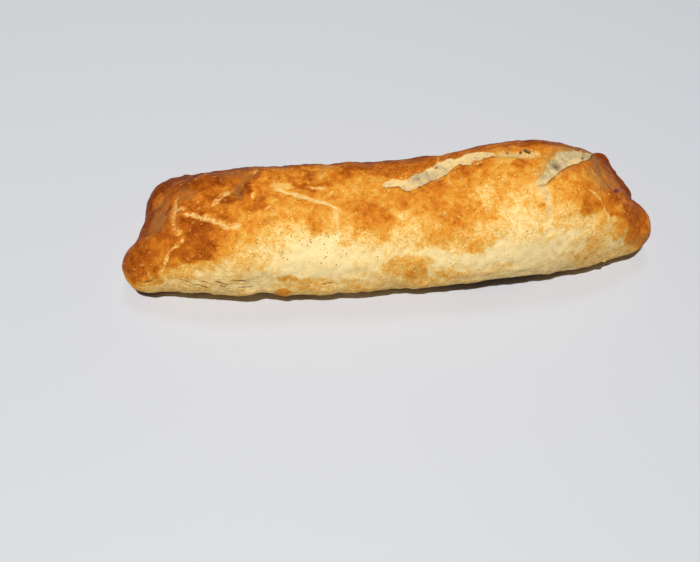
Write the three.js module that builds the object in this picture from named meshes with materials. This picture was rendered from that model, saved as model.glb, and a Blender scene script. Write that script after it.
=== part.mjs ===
// A Bedfordshire clanger: a long closed roll of baked suet-crust pastry, in millimetres, +Z up.
// X runs along the roll, -Y is its front side, and the flat base rests on Z = 0 under the middle of its box.
//
// The whole crust is one solid. A smooth blend of simple forms, the stuffed body with its hump and the puffed
// or pressed lobes at both ends, gives the main shape. Rays from a line inside the body find its surface on a
// grid of stations along the roll and points around it. The crust's relief is then raised on that surface:
// baked domes, dents, seams, the fold, the two open tears along the top and the steam hole.
//
// Places on the crust are given as [along, around]: "along" is the distance from the middle of the roll
// towards its right end, and "around" the distance over the crust from its crest, minus towards the front.
// Beyond CORE.halfLength "along" goes on over the rounded end, down to the pole in its middle.

import * as THREE from "three";
import { ImprovedNoise } from "three/addons/math/ImprovedNoise.js";

// ---- Driving sizes ----

const BODY = {
  leftEnd: 90, // from the middle to the left end face
  rightEnd: 90,
  halfWidth: 26.2,
  endNarrowing: 4, // how much less wide each side is 100 mm from the middle
  height: 32,
  widestLevel: 10, // height of the widest part of the section
  undercut: 2.5, // how far below the base the lower curve of the section would close
  centreLine: -0.5, // Y of the middle of the body at its ends
  bow: -2.5, // how far the middle bows forwards
};

// The right half rises, and widens to the back, where the filling is fullest.
const HUMP = { at: 56, length: 28.5, rise: 5.5, widening: 3.5 };

// The front side bulges most right of the middle.
const FRONT = { at: 36, length: 24, extra: 2.2 };

// How square the body is: along its length, across its width, above its widest level and below it.
const SQUARENESS = { along: 9, across: 2.4, above: 2.1, below: 2.2, blend: 2.3 };
const FIELD_SCALE = 24; // turns the body's relative distance into about a millimetre

// The lobes at the ends, each a rod with a radius at both of its points, blended into the body.
const LOBES = {
  leftFront: { from: [-90, -11.6, 8.6], to: [-78, -9.5, 12], fromRadius: 10.3, toRadius: 12.5, blend: 7 },
  leftBack: { from: [-81.6, 13.3, 12], to: [-68, 10, 13], fromRadius: 9.2, toRadius: 10.5, blend: 7 },
  leftFace: { from: [-85.6, -1, 9.5], to: [-83, 9, 11], fromRadius: 8.4, toRadius: 8.6, blend: 4 },
  rightFront: { from: [89.6, -10.5, 9.5], to: [78, -9.5, 12.5], fromRadius: 10, toRadius: 12, blend: 9 },
  rightHem: { from: [87.6, 20, 13], to: [88.9, 4, 11], fromRadius: 3.9, toRadius: 7, blend: 3 },
  rightTab: { from: [87.6, 20, 13], to: [77, 6, 13], fromRadius: 3.9, toRadius: 9, blend: 3 },
};

// The line that the rays start from, how far "along" it takes to turn a quarter over an end, and the grid.
const CORE = { halfLength: 76, height: 13, capReach: 20, farthest: 60 };
const GRID = { capRings: 14, stations: 66, around: 50, baseShare: 0.3, sectionSamples: 720 };
const HALVINGS = 24;

// Relief fades out between these heights, so that the base stays flat.
const RELIEF_FADE = { from: 1, to: 6 };

// ---- Relief of the crust ----

// Uneven filling under the crust: [size of the lumps, their height].
const LUMPS = [
  [17, 0.6],
  [8, 0.3],
];

// Baked domes: [along, around, radius, height].
const DOMES = [
  [-88, -24, 8, 0.6],
  [-67.4, 9.2, 7, 1.1],
  [-66.4, -16.4, 9, 1.4],
  [-62.4, -5.6, 5, 1],
  [-45.6, 6.2, 7, 1.7],
  [-30.4, -8.1, 8, 0.8],
  [-26.4, 3.9, 6, 0.5],
  [-18.1, 13.2, 7, 0.6],
  [-9.1, -10.9, 6, 1],
  [1.9, -31.1, 9, 0.7],
  [11.9, 15.2, 9, 0.7],
  [17.9, -8.1, 11, 0.9],
  [43.2, 0.9, 8, 0.6],
  [55.2, 14.2, 10, 0.6],
  [63.2, -8.1, 8, 1],
  [86, -22, 8, 0.5],
  [-76, 28, 7, 0.6],
  [-50, 32, 11, 0.9],
  [-8, 34, 10, 0.9],
  [38, 35, 12, 0.9],
];

// Dents: [along, around, radius, depth].
const DENTS = [
  [-89, -4, 6, 1.6],
  [-72, 28, 7, 0.8],
  [-53.4, 9.2, 4.5, 0.7],
  [-49.4, -37.1, 6, 0.8],
  [-40.4, 2.4, 4, 0.5],
  [-28.4, -25.4, 11, 0.5],
  [3.9, -21.4, 7, 0.4],
  [14, 31, 7, 0.8],
  [19.2, 21, 2.2, 1.1],
  [40.2, -29.1, 12, 0.8],
  [72.2, -1.1, 6, 0.6],
  [81.2, -4.1, 5, 0.9],
];

// Seams where the skin has cracked or been folded over: a line, its half width and its depth.
const SEAMS = [
  { line: [[-76.6, 3.4], [-79.2, -6.6], [-78.9, -11.4], [-75, -14.7]], width: 1.4, depth: 0.8 },
  { line: [[-75, -14.7], [-77.4, -18.9], [-82.4, -26.4], [-86.5, -36]], width: 1.3, depth: 0.6 },
  { line: [[-75.4, -5.9], [-69.4, -7.8], [-61.4, -11.3], [-55, -14.7]], width: 1.4, depth: 0.8 },
  { line: [[-66.5, -4], [-61.8, -0.1], [-57.2, 5.8], [-51.5, 12], [-46, 27]], width: 1.5, depth: 0.9 },
  { line: [[-43.9, 1.8], [-35.4, -1.2], [-26.4, -4.9], [-19.1, -8.1], [-9, -5.5]], width: 1.4, depth: 0.9 },
  { line: [[38, 8.2], [43, 7.6], [48, 6.4], [55, 6]], width: 1.5, depth: 0.8 },
  { line: [[50, -6.1], [52.3, -10], [51.7, -16.4]], width: 1.5, depth: 0.6 },
  { line: [[66, -7.6], [72.5, -13], [77.5, -25], [85, -39]], width: 1.4, depth: 0.7 },
  { line: [[77, 15], [78.6, 6], [79.5, -4], [83.5, -10], [92, -12.5]], width: 1.8, depth: 1.1 },
  { line: [[-101, -11], [-94, -12.5], [-87, -11], [-80.5, -8.6]], width: 1.9, depth: 0.9 },
  { line: [[-93.5, 9], [-90, 3], [-84, -5]], width: 1.6, depth: 0.6 },
  { line: [[-30, 24], [-22, 31], [-25, 40]], width: 1.6, depth: 0.7 },
  { line: [[14, 25], [22, 32], [20, 42]], width: 1.6, depth: 0.7 },
  { line: [[66, 21], [61, 30], [64, 41]], width: 1.6, depth: 0.7 },
  { line: [[-74, 24], [-66, 32], [-69, 41]], width: 1.6, depth: 0.6 },
];

// Tears where the crust has burst open. Each row is [along, around of the front edge, and of the back edge].
const TEARS = [
  {
    rows: [
      [-5, 1.9, 2.3], [-1, -0.5, 3.7], [4.5, -3.2, 3.3], [10, -1, 5.8], [17, 1.4, 9.8],
      [22.5, 5.5, 12.2], [27, 5.7, 12.4], [32, 5.8, 13.8], [36, 6.7, 12], [39, 6.7, 7.6],
    ],
    depth: 2.0,
    lip: 0.9, // how far the front edge is lifted
  },
  {
    rows: [
      [48, -5.8, -5.3], [52, -6.2, -1.6], [57, -3.8, 3.3], [62, -1, 7.6],
      [68, 2.1, 8.7], [73, 4.5, 10.5], [77, 10.6, 14.1], [80, 15.8, 16.4],
    ],
    depth: 1.2,
    lip: 0.6,
  },
];
const TEAR_FORM = { fullWidth: 4, endFade: 2, wall: 1.4, lipLength: 3.2 };

const STEAM_HOLE = { at: [59.2, 1.4], radius: 3.2, depth: 1.2 };

// The overlap on the left half: an edge, as [around, along], with the crust to its right lying higher and a
// valley to its left.
const FOLD = {
  edge: [[-5.1, -50.9], [-2.1, -52.4], [0.9, -54], [3.9, -54.4], [6.9, -52.4], [10.2, -50.4], [14.2, -47.9]],
  step: 2,
  reach: 9,
  wall: 2.5,
  valley: { offset: 3, width: 3, depth: 1 },
};
const FOLD_FADE = [-3, 3, 12, 19];

// How the front foot of the crust leaves the straight line: [along, half length, height, reach forwards].
const FEET = [
  [-72, 8, 9, -1.2],
  [-51, 6, 9, -2.6],
  [-42, 2.6, 4, 1],
  [38, 21, 14, -3],
  [77, 3, 3, 0.8],
];
const FOOT_STARTS = { from: 10, to: 16 }; // in front of the centre line

// ---- Main shape ----

const clamp01 = (v) => Math.min(1, Math.max(0, v));
const smoothstep = (from, to, v) => THREE.MathUtils.smoothstep(v, from, to);
const bell = (distance, radius) => Math.exp(-((distance / radius) ** 2));

// The lower of two distances, rounded where they meet.
function smoothMin(a, b, blend) {
  const h = clamp01(0.5 + (0.5 * (b - a)) / blend);
  return b + (a - b) * h - blend * h * (1 - h);
}

const centreLineY = (x) => BODY.centreLine + BODY.bow * (1 - (x / 100) ** 2);

function bodyDistance({ x, y, z }) {
  const swell = bell(x - HUMP.at, HUMP.length);
  const offset = y - centreLineY(x);
  const narrowing = BODY.endNarrowing * Math.abs(x / 100) ** 3;
  const fuller = offset > 0 ? HUMP.widening * swell : FRONT.extra * bell(x - FRONT.at, FRONT.length);
  const halfWidth = BODY.halfWidth - narrowing + fuller;
  const crown = BODY.height + HUMP.rise * swell - BODY.widestLevel;
  const along = Math.abs(x) / (x < 0 ? BODY.leftEnd : BODY.rightEnd);
  const across = Math.abs(offset) / halfWidth;
  const above = Math.max(z - BODY.widestLevel, 0) / crown;
  const below = Math.max(BODY.widestLevel - z, 0) / (BODY.widestLevel + BODY.undercut);
  const sum =
    along ** SQUARENESS.along +
    across ** SQUARENESS.across +
    above ** SQUARENESS.above +
    below ** SQUARENESS.below;
  return (sum ** (1 / SQUARENESS.blend) - 1) * FIELD_SCALE;
}

function lobeDistance({ from, to, fromRadius, toRadius }, point) {
  const start = new THREE.Vector3(...from);
  const line = new THREE.Vector3(...to).sub(start);
  const t = clamp01(point.clone().sub(start).dot(line) / line.lengthSq());
  return point.distanceTo(start.addScaledVector(line, t)) - THREE.MathUtils.lerp(fromRadius, toRadius, t);
}

// Below zero inside the pastry and above zero outside it.
function pastryDistance(point) {
  return Object.values(LOBES).reduce(
    (distance, lobe) => smoothMin(distance, lobeDistance(lobe, point), lobe.blend),
    bodyDistance(point),
  );
}

// Where a ray from inside the pastry meets its surface, or the floor if that comes first.
function surfaceAlong(origin, direction) {
  let inside = 0;
  let outside = CORE.farthest;
  for (let i = 0; i < HALVINGS; i++) {
    const middle = (inside + outside) / 2;
    if (pastryDistance(origin.clone().addScaledVector(direction, middle)) < 0) inside = middle;
    else outside = middle;
  }
  const toFloor = direction.z < 0 ? origin.z / -direction.z : Infinity;
  const point = origin.clone().addScaledVector(direction, Math.min(inside, toFloor));
  if (toFloor <= inside) point.z = 0;
  return point;
}

// The section through the middle of the roll, as angles about the core and distances around from the crest.
function middleSection() {
  const origin = new THREE.Vector3(0, centreLineY(0), CORE.height);
  const samples = [];
  let travelled = 0;
  let last = null;
  for (let i = 0; i <= GRID.sectionSamples; i++) {
    const angle = (i / GRID.sectionSamples) * 2 * Math.PI;
    const point = surfaceAlong(origin, new THREE.Vector3(0, Math.sin(angle), Math.cos(angle)));
    if (last) travelled += point.distanceTo(last);
    samples.push({ angle, around: travelled, onBase: point.z === 0 });
    last = point;
  }
  return samples;
}

const SECTION = middleSection();
const GIRTH = SECTION[GRID.sectionSamples].around;

// The angle from the crest, positive towards the back, of a place "around" the crust.
function angleAt(around) {
  const wanted = THREE.MathUtils.euclideanModulo(around, GIRTH);
  let i = 1;
  while (i < GRID.sectionSamples && SECTION[i].around < wanted) i++;
  const [a, b] = [SECTION[i - 1], SECTION[i]];
  return THREE.MathUtils.lerp(a.angle, b.angle, (wanted - a.around) / (b.around - a.around));
}

// The point of the main shape at a place on the crust.
function crustPoint(along, around) {
  const coreX = THREE.MathUtils.clamp(along, -CORE.halfLength, CORE.halfLength);
  const origin = new THREE.Vector3(coreX, centreLineY(coreX), CORE.height);
  const tilt = Math.min((Math.abs(along) - Math.abs(coreX)) / CORE.capReach, Math.PI / 2);
  const angle = angleAt(around);
  const direction = new THREE.Vector3(
    Math.sign(along) * Math.sin(tilt),
    Math.cos(tilt) * Math.sin(angle),
    Math.cos(tilt) * Math.cos(angle),
  );
  return surfaceAlong(origin, direction);
}

// The outward direction of the main shape, from the slope of its distance.
function outward(point) {
  const step = 0.2;
  const slope = (x, y, z) => {
    const nudge = new THREE.Vector3(x, y, z).multiplyScalar(step);
    return pastryDistance(point.clone().add(nudge)) - pastryDistance(point.clone().sub(nudge));
  };
  return new THREE.Vector3(slope(1, 0, 0), slope(0, 1, 0), slope(0, 0, 1)).normalize();
}

// ---- Relief ----

const SAMPLES = 60;
const curvePoints = (rows) =>
  new THREE.CatmullRomCurve3(rows.map(([a, b, c = 0]) => new THREE.Vector3(a, b, c))).getPoints(SAMPLES);

const domes = DOMES.map(([a, g, radius, size]) => ({ at: crustPoint(a, g), radius, size }));
const dents = DENTS.map(([a, g, radius, size]) => ({ at: crustPoint(a, g), radius, size }));
const onCrust = (line) => curvePoints(line).map(({ x, y }) => crustPoint(x, y));
const seams = SEAMS.map((seam) => ({ ...seam, points: onCrust(seam.line) }));
const tears = TEARS.map((tear) => ({ ...tear, rows: curvePoints(tear.rows) }));
const foldEdge = curvePoints(FOLD.edge);
const steamHole = crustPoint(...STEAM_HOLE.at);

const noise = new ImprovedNoise();

const lumps = ({ x, y, z }) =>
  LUMPS.reduce((sum, [size, height]) => sum + height * noise.noise(x / size, y / size, z / size + size), 0);

// A seam is a groove that fades to a low shoulder on both sides.
function seamRelief({ points, width, depth }, point) {
  const distance = Math.min(...points.map((sample) => sample.distanceTo(point)));
  return depth * (0.35 * bell(distance - 2.2 * width, 1.2 * width) - bell(distance, width));
}

// The row of a curve at a value of its first coordinate, which grows along it.
function rowAt(rows, x) {
  const after = rows.findIndex((row) => row.x > x);
  if (after <= 0) return after === 0 ? rows[0] : rows[rows.length - 1];
  const [a, b] = [rows[after - 1], rows[after]];
  return a.clone().lerp(b, (x - a.x) / (b.x - a.x));
}

// A tear drops sharply behind its lifted front edge, and rises gently to its back edge.
function tearRelief({ rows, depth, lip }, along, around) {
  const { y: front, z: back } = rowAt(rows, along);
  const width = Math.max(back - front, 0.01);
  const { fullWidth, endFade, wall, lipLength } = TEAR_FORM;
  const [start, end] = [rows[0].x, rows[rows.length - 1].x];
  const inLength = smoothstep(start, start + endFade, along) * (1 - smoothstep(end - endFade, end, along));
  const open = clamp01(width / fullWidth) * inLength;
  const share = (around - front) / width;
  const pastFront = smoothstep(-wall, wall, around - front);
  const beforeBack = 1 - smoothstep(0.9, 1.12, share);
  const floor = -depth * (1 - clamp01(share) ** 1.6);
  const lifted = lip * Math.exp(-Math.max(front - around, 0) / lipLength);
  return open * (pastFront * beforeBack * floor + (1 - pastFront) * lifted);
}

function foldRelief(along, around) {
  const behind = along - rowAt(foldEdge, around).y;
  const [a, b, c, d] = FOLD_FADE;
  const fade = smoothstep(a, b, around) * (1 - smoothstep(c, d, around));
  const step = FOLD.step * smoothstep(-FOLD.wall, FOLD.wall, behind);
  const { offset, width, depth } = FOLD.valley;
  return fade * (step * Math.exp(-Math.max(behind, 0) / FOLD.reach) - depth * bell(behind + offset, width));
}

function reliefAt(point, along, around) {
  let height = lumps(point) + foldRelief(along, around);
  for (const dome of domes) height += dome.size * bell(point.distanceTo(dome.at), dome.radius);
  for (const dent of dents) height -= dent.size * bell(point.distanceTo(dent.at), dent.radius);
  for (const seam of seams) height += seamRelief(seam, point);
  for (const tear of tears) height += tearRelief(tear, along, around);
  height -= STEAM_HOLE.depth * bell(point.distanceTo(steamHole), STEAM_HOLE.radius);
  return height * smoothstep(RELIEF_FADE.from, RELIEF_FADE.to, point.z);
}

// How far the front foot of the crust stands forward of the main shape.
function footReach({ x, y, z }) {
  const front = smoothstep(FOOT_STARTS.from, FOOT_STARTS.to, centreLineY(x) - y);
  const lean = ([at, half, top, reach]) => reach * bell(x - at, half) * clamp01(1 - z / top);
  return FEET.reduce((sum, foot) => sum + front * lean(foot), 0);
}

function finishedPoint(along, around) {
  const point = crustPoint(along, around);
  const onBase = point.z === 0;
  const reach = footReach(point);
  if (!onBase) point.addScaledVector(outward(point), reliefAt(point, along, around));
  point.y -= reach;
  point.z = Math.max(point.z, 0);
  return point;
}

// ---- Grid ----

// Places around the crust, closer together on the upper crust than on the base.
function aroundPlaces() {
  const weighted = [0];
  for (let i = 1; i < SECTION.length; i++) {
    const step = SECTION[i].around - SECTION[i - 1].around;
    weighted.push(weighted[i - 1] + step * (SECTION[i].onBase ? GRID.baseShare : 1));
  }
  const total = weighted[weighted.length - 1];
  return Array.from({ length: GRID.around }, (_, j) => {
    const wanted = (j / GRID.around) * total;
    const i = Math.max(1, weighted.findIndex((value) => value >= wanted));
    const share = (wanted - weighted[i - 1]) / (weighted[i] - weighted[i - 1]);
    const around = THREE.MathUtils.lerp(SECTION[i - 1].around, SECTION[i].around, share);
    return around > GIRTH / 2 ? around - GIRTH : around;
  });
}

const POLE = CORE.halfLength + (CORE.capReach * Math.PI) / 2;

// Places along the roll, without the two poles.
function alongPlaces() {
  const capStep = (POLE - CORE.halfLength) / (GRID.capRings + 1);
  const cap = Array.from({ length: GRID.capRings }, (_, i) => CORE.halfLength + (i + 1) * capStep);
  const middle = Array.from(
    { length: GRID.stations + 1 },
    (_, i) => ((2 * i) / GRID.stations - 1) * CORE.halfLength,
  );
  return [...cap.map((a) => -a).reverse(), ...middle, ...cap];
}

// The rings of the grid joined into a closed skin, with a pole at each end.
function pastryGeometry() {
  const along = alongPlaces();
  const around = aroundPlaces();
  const points = along.flatMap((a) => around.map((g) => finishedPoint(a, g)));
  const leftPole = points.push(finishedPoint(-POLE, 0)) - 1;
  const rightPole = points.push(finishedPoint(POLE, 0)) - 1;

  const index = [];
  const n = around.length;
  const lastRing = (along.length - 1) * n;
  for (let j = 0; j < n; j++) {
    const next = (j + 1) % n;
    index.push(leftPole, j, next);
    index.push(rightPole, lastRing + next, lastRing + j);
    for (let ring = 0; ring < lastRing; ring += n) {
      const [a, b, c, d] = [ring + j, ring + next, ring + n + j, ring + n + next];
      const [oneWay, otherWay] = [points[b].distanceTo(points[c]), points[a].distanceTo(points[d])];
      index.push(...(oneWay < otherWay ? [a, c, b, b, c, d] : [a, c, d, a, d, b])); // split the shorter way
    }
  }

  const geometry = new THREE.BufferGeometry().setFromPoints(points);
  geometry.setIndex(index);
  geometry.computeBoundingBox();
  const centre = geometry.boundingBox.getCenter(new THREE.Vector3());
  geometry.translate(-centre.x, -centre.y, 0);
  geometry.computeVertexNormals();
  return geometry;
}

// ---- The part ----

const crust = new THREE.MeshStandardMaterial({ color: 0xe0a050, roughness: 0.55, metalness: 0 });
const pastry = new THREE.Mesh(pastryGeometry(), crust);
pastry.name = "pastry_roll";

const clanger = new THREE.Group();
clanger.add(pastry);

export default clanger;
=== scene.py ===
"""A Bedfordshire clanger, a long roll of baked suet-crust pastry, dressed over its solid model.

Laid out as an add-on: the sizes and colours are properties, each piece has its own operator, and a panel
lists them. Lengths in the tables are millimetres. Places on the crust are given as (along, around): along
is the distance from the middle of the roll towards its right end, and around the distance over the crust
from its crest, minus towards the front. Beyond the core line, along goes on over the rounded end.
"""

import math

import bpy
import numpy as np
from mathutils import Matrix, Vector


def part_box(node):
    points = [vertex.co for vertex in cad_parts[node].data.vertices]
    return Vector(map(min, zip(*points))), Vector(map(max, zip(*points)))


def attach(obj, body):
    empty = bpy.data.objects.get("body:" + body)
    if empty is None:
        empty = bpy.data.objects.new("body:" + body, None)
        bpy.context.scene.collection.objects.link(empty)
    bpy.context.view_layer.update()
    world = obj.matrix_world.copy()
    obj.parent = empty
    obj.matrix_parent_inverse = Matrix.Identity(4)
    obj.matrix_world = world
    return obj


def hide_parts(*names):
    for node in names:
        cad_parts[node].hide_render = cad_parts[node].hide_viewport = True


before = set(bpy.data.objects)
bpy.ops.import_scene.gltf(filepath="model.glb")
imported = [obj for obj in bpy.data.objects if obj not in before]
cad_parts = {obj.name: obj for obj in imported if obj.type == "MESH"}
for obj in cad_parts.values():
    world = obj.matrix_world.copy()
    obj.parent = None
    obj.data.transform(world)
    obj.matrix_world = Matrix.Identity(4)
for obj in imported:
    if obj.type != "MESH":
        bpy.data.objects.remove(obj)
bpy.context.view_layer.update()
ROLL_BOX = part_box("pastry_roll")

bl_info = {
    "name": "Bedfordshire clanger",
    "version": (1, 0, 0),
    "blender": (4, 5, 0),
    "location": "3D View > Sidebar > Clanger",
    "description": "Bakes a Bedfordshire clanger over its solid model, and sets the studio",
    "category": "Object",
}

MM = 0.001
SEED = 41
HASH_PRIMES = (374761393, 668265263, 2147483629)
HASH_SEED_PRIME = 974634777

# ---- Main shape, the same forms as the solid's ----

BODY_SQUARENESS = {"along": 9.0, "across": 2.4, "above": 2.1, "below": 2.2, "blend": 2.3}
FIELD_SCALE = 24.0
TAPER_LENGTH = 100.0
LOBES = (
    # one point, its radius, the other point, its radius, blend into the body
    ((-90.0, -11.6, 8.6), 10.3, (-78, -9.5, 12), 12.5, 7.0),
    ((-81.6, 13.3, 12), 9.2, (-68, 10, 13), 10.5, 7.0),
    ((-85.6, -1, 9.5), 8.4, (-83, 9, 11), 8.6, 4.0),
    ((89.6, -10.5, 9.5), 10.0, (78, -9.5, 12.5), 12.0, 9.0),
    ((87.6, 20.0, 13.0), 3.9, (88.9, 4, 11), 7.0, 3.0),
    ((87.6, 20.0, 13.0), 3.9, (77, 6, 13), 9.0, 3.0),
)
CORE_HALF = 76.0
CORE_HEIGHT = 13.0
CAP_REACH = 20.0
POLE = CORE_HALF + CAP_REACH * math.pi / 2
FARTHEST = 60.0
HALVINGS = 24
SECTION_STEPS = 1440
SLOPE_STEP = 0.2

# ---- Relief ----

LINE_STEPS = 8
OUT_OF_REACH = 1000.0
LUMPS = (
    # strength, size, seed
    (0.55, 17, 1),
    (0.46, 7, 2),
    (0.24, 2.8, 3),
    (0.05, 1.3, 4),
)
DOMES = (
    # along, around, radius, height
    (-88, -24, 8, 0.6),
    (-67.4, 9.2, 7, 1.1),
    (-66.4, -16.4, 9, 1.4),
    (-62.4, -5.6, 5, 1.0),
    (-45.6, 6.2, 7, 1.7),
    (-30.4, -8.1, 8, 0.8),
    (-26.4, 3.9, 6, 0.5),
    (-18.1, 13.2, 7, 0.6),
    (-9.1, -10.9, 6, 1.0),
    (1.9, -31.1, 9, 0.7),
    (11.9, 15.2, 9, 0.7),
    (17.9, -8.1, 11, 0.9),
    (43.2, 0.9, 8, 0.6),
    (55.2, 14.2, 10, 0.6),
    (63.2, -8.1, 8, 1.0),
    (86, -22, 8, 0.5),
    (-76, 28, 7, 0.6),
    (-50, 32, 11, 0.9),
    (-8, 34, 10, 0.9),
    (38, 35, 12, 0.9),
)
DENTS = (
    # along, around, radius, depth
    (-89, -4, 6, 1.6),
    (-72, 28, 7, 0.8),
    (-53.4, 9.2, 4.5, 0.7),
    (-49.4, -37.1, 6, 0.8),
    (-40.4, 2.4, 4, 0.5),
    (-28.4, -25.4, 11, 0.5),
    (3.9, -21.4, 7, 0.4),
    (14, 31, 7, 0.8),
    (19.2, 21, 2.2, 1.1),
    (40.2, -29.1, 12, 0.8),
    (72.2, -1.1, 6, 0.6),
    (81.2, -4.1, 5, 0.9),
)
BANK_HEIGHT = 0.4
SEAM_BANK = (2.0, 0.9)  # place and radius, in half widths
SEAM_SCALE = 0.6  # of the depths below
SEAM_END_SHARE = 0.3  # of a seam that is left at its ends
SEAM_LINE = {"steps": 12, "reach": (4, 2), "fade": 0.12}
SEAMS = (
    # half width, depth, how pale, line
    (1.25, 1.1, 0.42, (
        (-76.6, 3.4), (-77.4, 1.4), (-77.8, -1.1), (-79.0, -5.1), (-79.4, -8.1), (-78.9, -11.4),
        (-77.4, -13.4), (-75.4, -14.7),
    )),
    (0.55, 0.8, 0.52, (
        (-74.7, -14.7), (-76.2, -16.9), (-77.4, -18.9), (-79.4, -20.7), (-80.9, -22.9), (-82.4, -26.4),
        (-84, -31), (-86.5, -36),
    )),
    (0.6, 0.4, 0.6, ((-77.4, -3.1), (-75.2, -3.5), (-73.4, -4.1))),
    (0.85, 1.1, 0.58, (
        (-75.4, -5.9), (-73.4, -6.1), (-71.4, -6.7), (-69.4, -7.8), (-66.9, -9), (-64.4, -10.2),
        (-61.4, -11.3), (-58.4, -12.1), (-56.4, -12.9), (-54.9, -14.7),
    )),
    (0.6, 0.9, 0.56, (
        (-66.5, -4.0), (-64.8, -2.8), (-63.3, -1.5), (-61.8, -0.1), (-59.9, 1.6), (-58.1, 3.6),
        (-57.2, 5.8),
    )),
    (2.0, 0.8, 0.0, ((-56.4, 4.9), (-54.4, 8.7), (-51.4, 12.2), (-49.4, 16.2), (-47, 21), (-46, 27))),
    (0.6, 0.4, 0.22, ((-93.5, 9), (-91, 4), (-88, 1), (-86, -2), (-83.8, -5))),
    (0.7, 0.4, 0.5, ((-70.9, 10.2), (-70, 12.2), (-68.9, 14.2), (-66.9, 15.7))),
    (0.65, 1.0, 0.95, (
        (-43.9, 1.8), (-41.4, 1.5), (-38.4, 0.1), (-35.4, -1.2), (-32.4, -2.6), (-29.4, -3.7),
        (-26.4, -4.9), (-23.4, -6.2), (-21.4, -7.3), (-19.1, -8.1),
    )),
    (1.7, 0.3, 0.36, ((-44.9, 4.4), (-41.4, 4.2), (-37.9, 3.0), (-33.9, 1.2))),
    (0.6, 0.5, 0.5, ((-33.4, 2.4), (-30.4, 1.6), (-26.4, 1.6), (-24.4, 0.3))),
    (0.5, 0.3, 0.7, ((-24.4, -2.3), (-23, -0.3), (-21.8, 0.9))),
    (0.8, 0.3, 0.5, ((-22.4, -5.7), (-22, -8.6), (-21.6, -11.9), (-22, -15))),
    (0.6, 0.4, 0.5, ((-46.4, -7.1), (-44.9, -5.1), (-43.8, -3.6), (-42.4, -2.1))),
    (0.55, 0.4, 0.5, ((20.4, 2.7), (19.7, 0.5), (20.5, -1.3), (21, -3.1), (20.2, -5.1))),
    (0.5, 0.4, 0.5, ((34.7, 0.9), (36.7, 2.3), (38.7, 3.6), (41.2, 4.9))),
    (1.7, 0.8, 0.62, ((38.2, 8.2), (41.2, 7.8), (44.7, 7.4), (48.2, 6.3), (52.2, 6.5), (55.2, 5.9))),
    (1.6, 0.6, 0.80, ((50.2, -6.1), (52.0, -8.6), (52.5, -12.4), (51.7, -16.4))),
    (0.8, 0.3, 0.55, ((46.2, -17.9), (45.7, -21.4), (46, -24.4))),
    (0.7, 0.5, 0.5, ((44.2, -4.7), (47.2, -5.4), (50.2, -5.8))),
    (0.38, 0.6, 0.70, (
        (66.2, -7.6), (68.7, -8.9), (71.2, -10.9), (72.5, -12.9), (73.7, -15.4), (75.2, -18.4),
        (76.2, -21.9), (77.7, -24.9), (79.2, -27.1), (81.2, -30.1), (83.2, -33.6), (85, -39),
    )),
    (1.5, 1.1, 0.0, (
        (77.2, 15.2), (78.6, 5.9), (79.2, -2.1), (80.2, -7.1), (84, -10.5), (92, -12.5), (98, -13.5),
    )),
    (0.9, 0.9, 0.0, ((81.7, -6.6), (84, -6.6), (87, -5.4), (90, -3.4), (93, -1))),
    (1.8, 0.9, 0.0, ((-101, -11), (-94, -12.5), (-87, -11), (-80.4, -8.6))),
    (1.4, 0.7, 0.0, ((-30, 24), (-22, 31), (-25, 40))),
    (1.4, 0.7, 0.0, ((14, 25), (22, 32), (20, 42))),
    (1.2, 0.7, 0.0, ((66.2, 21.2), (61, 30), (64, 41))),
    (1.0, 0.6, 0.0, ((-74, 24), (-66, 32), (-69, 41))),
    (0.35, 0.4, 0.6, ((17.0, 8.8), (17.6, 11.5), (18.6, 15.5), (19.6, 20))),
)
CRACK_BANK = (2.5, 1.5)  # place and radius, in half widths
CRACK_LINE = {"steps": 10, "reach": (0, 3), "fade": 0.15}
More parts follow.
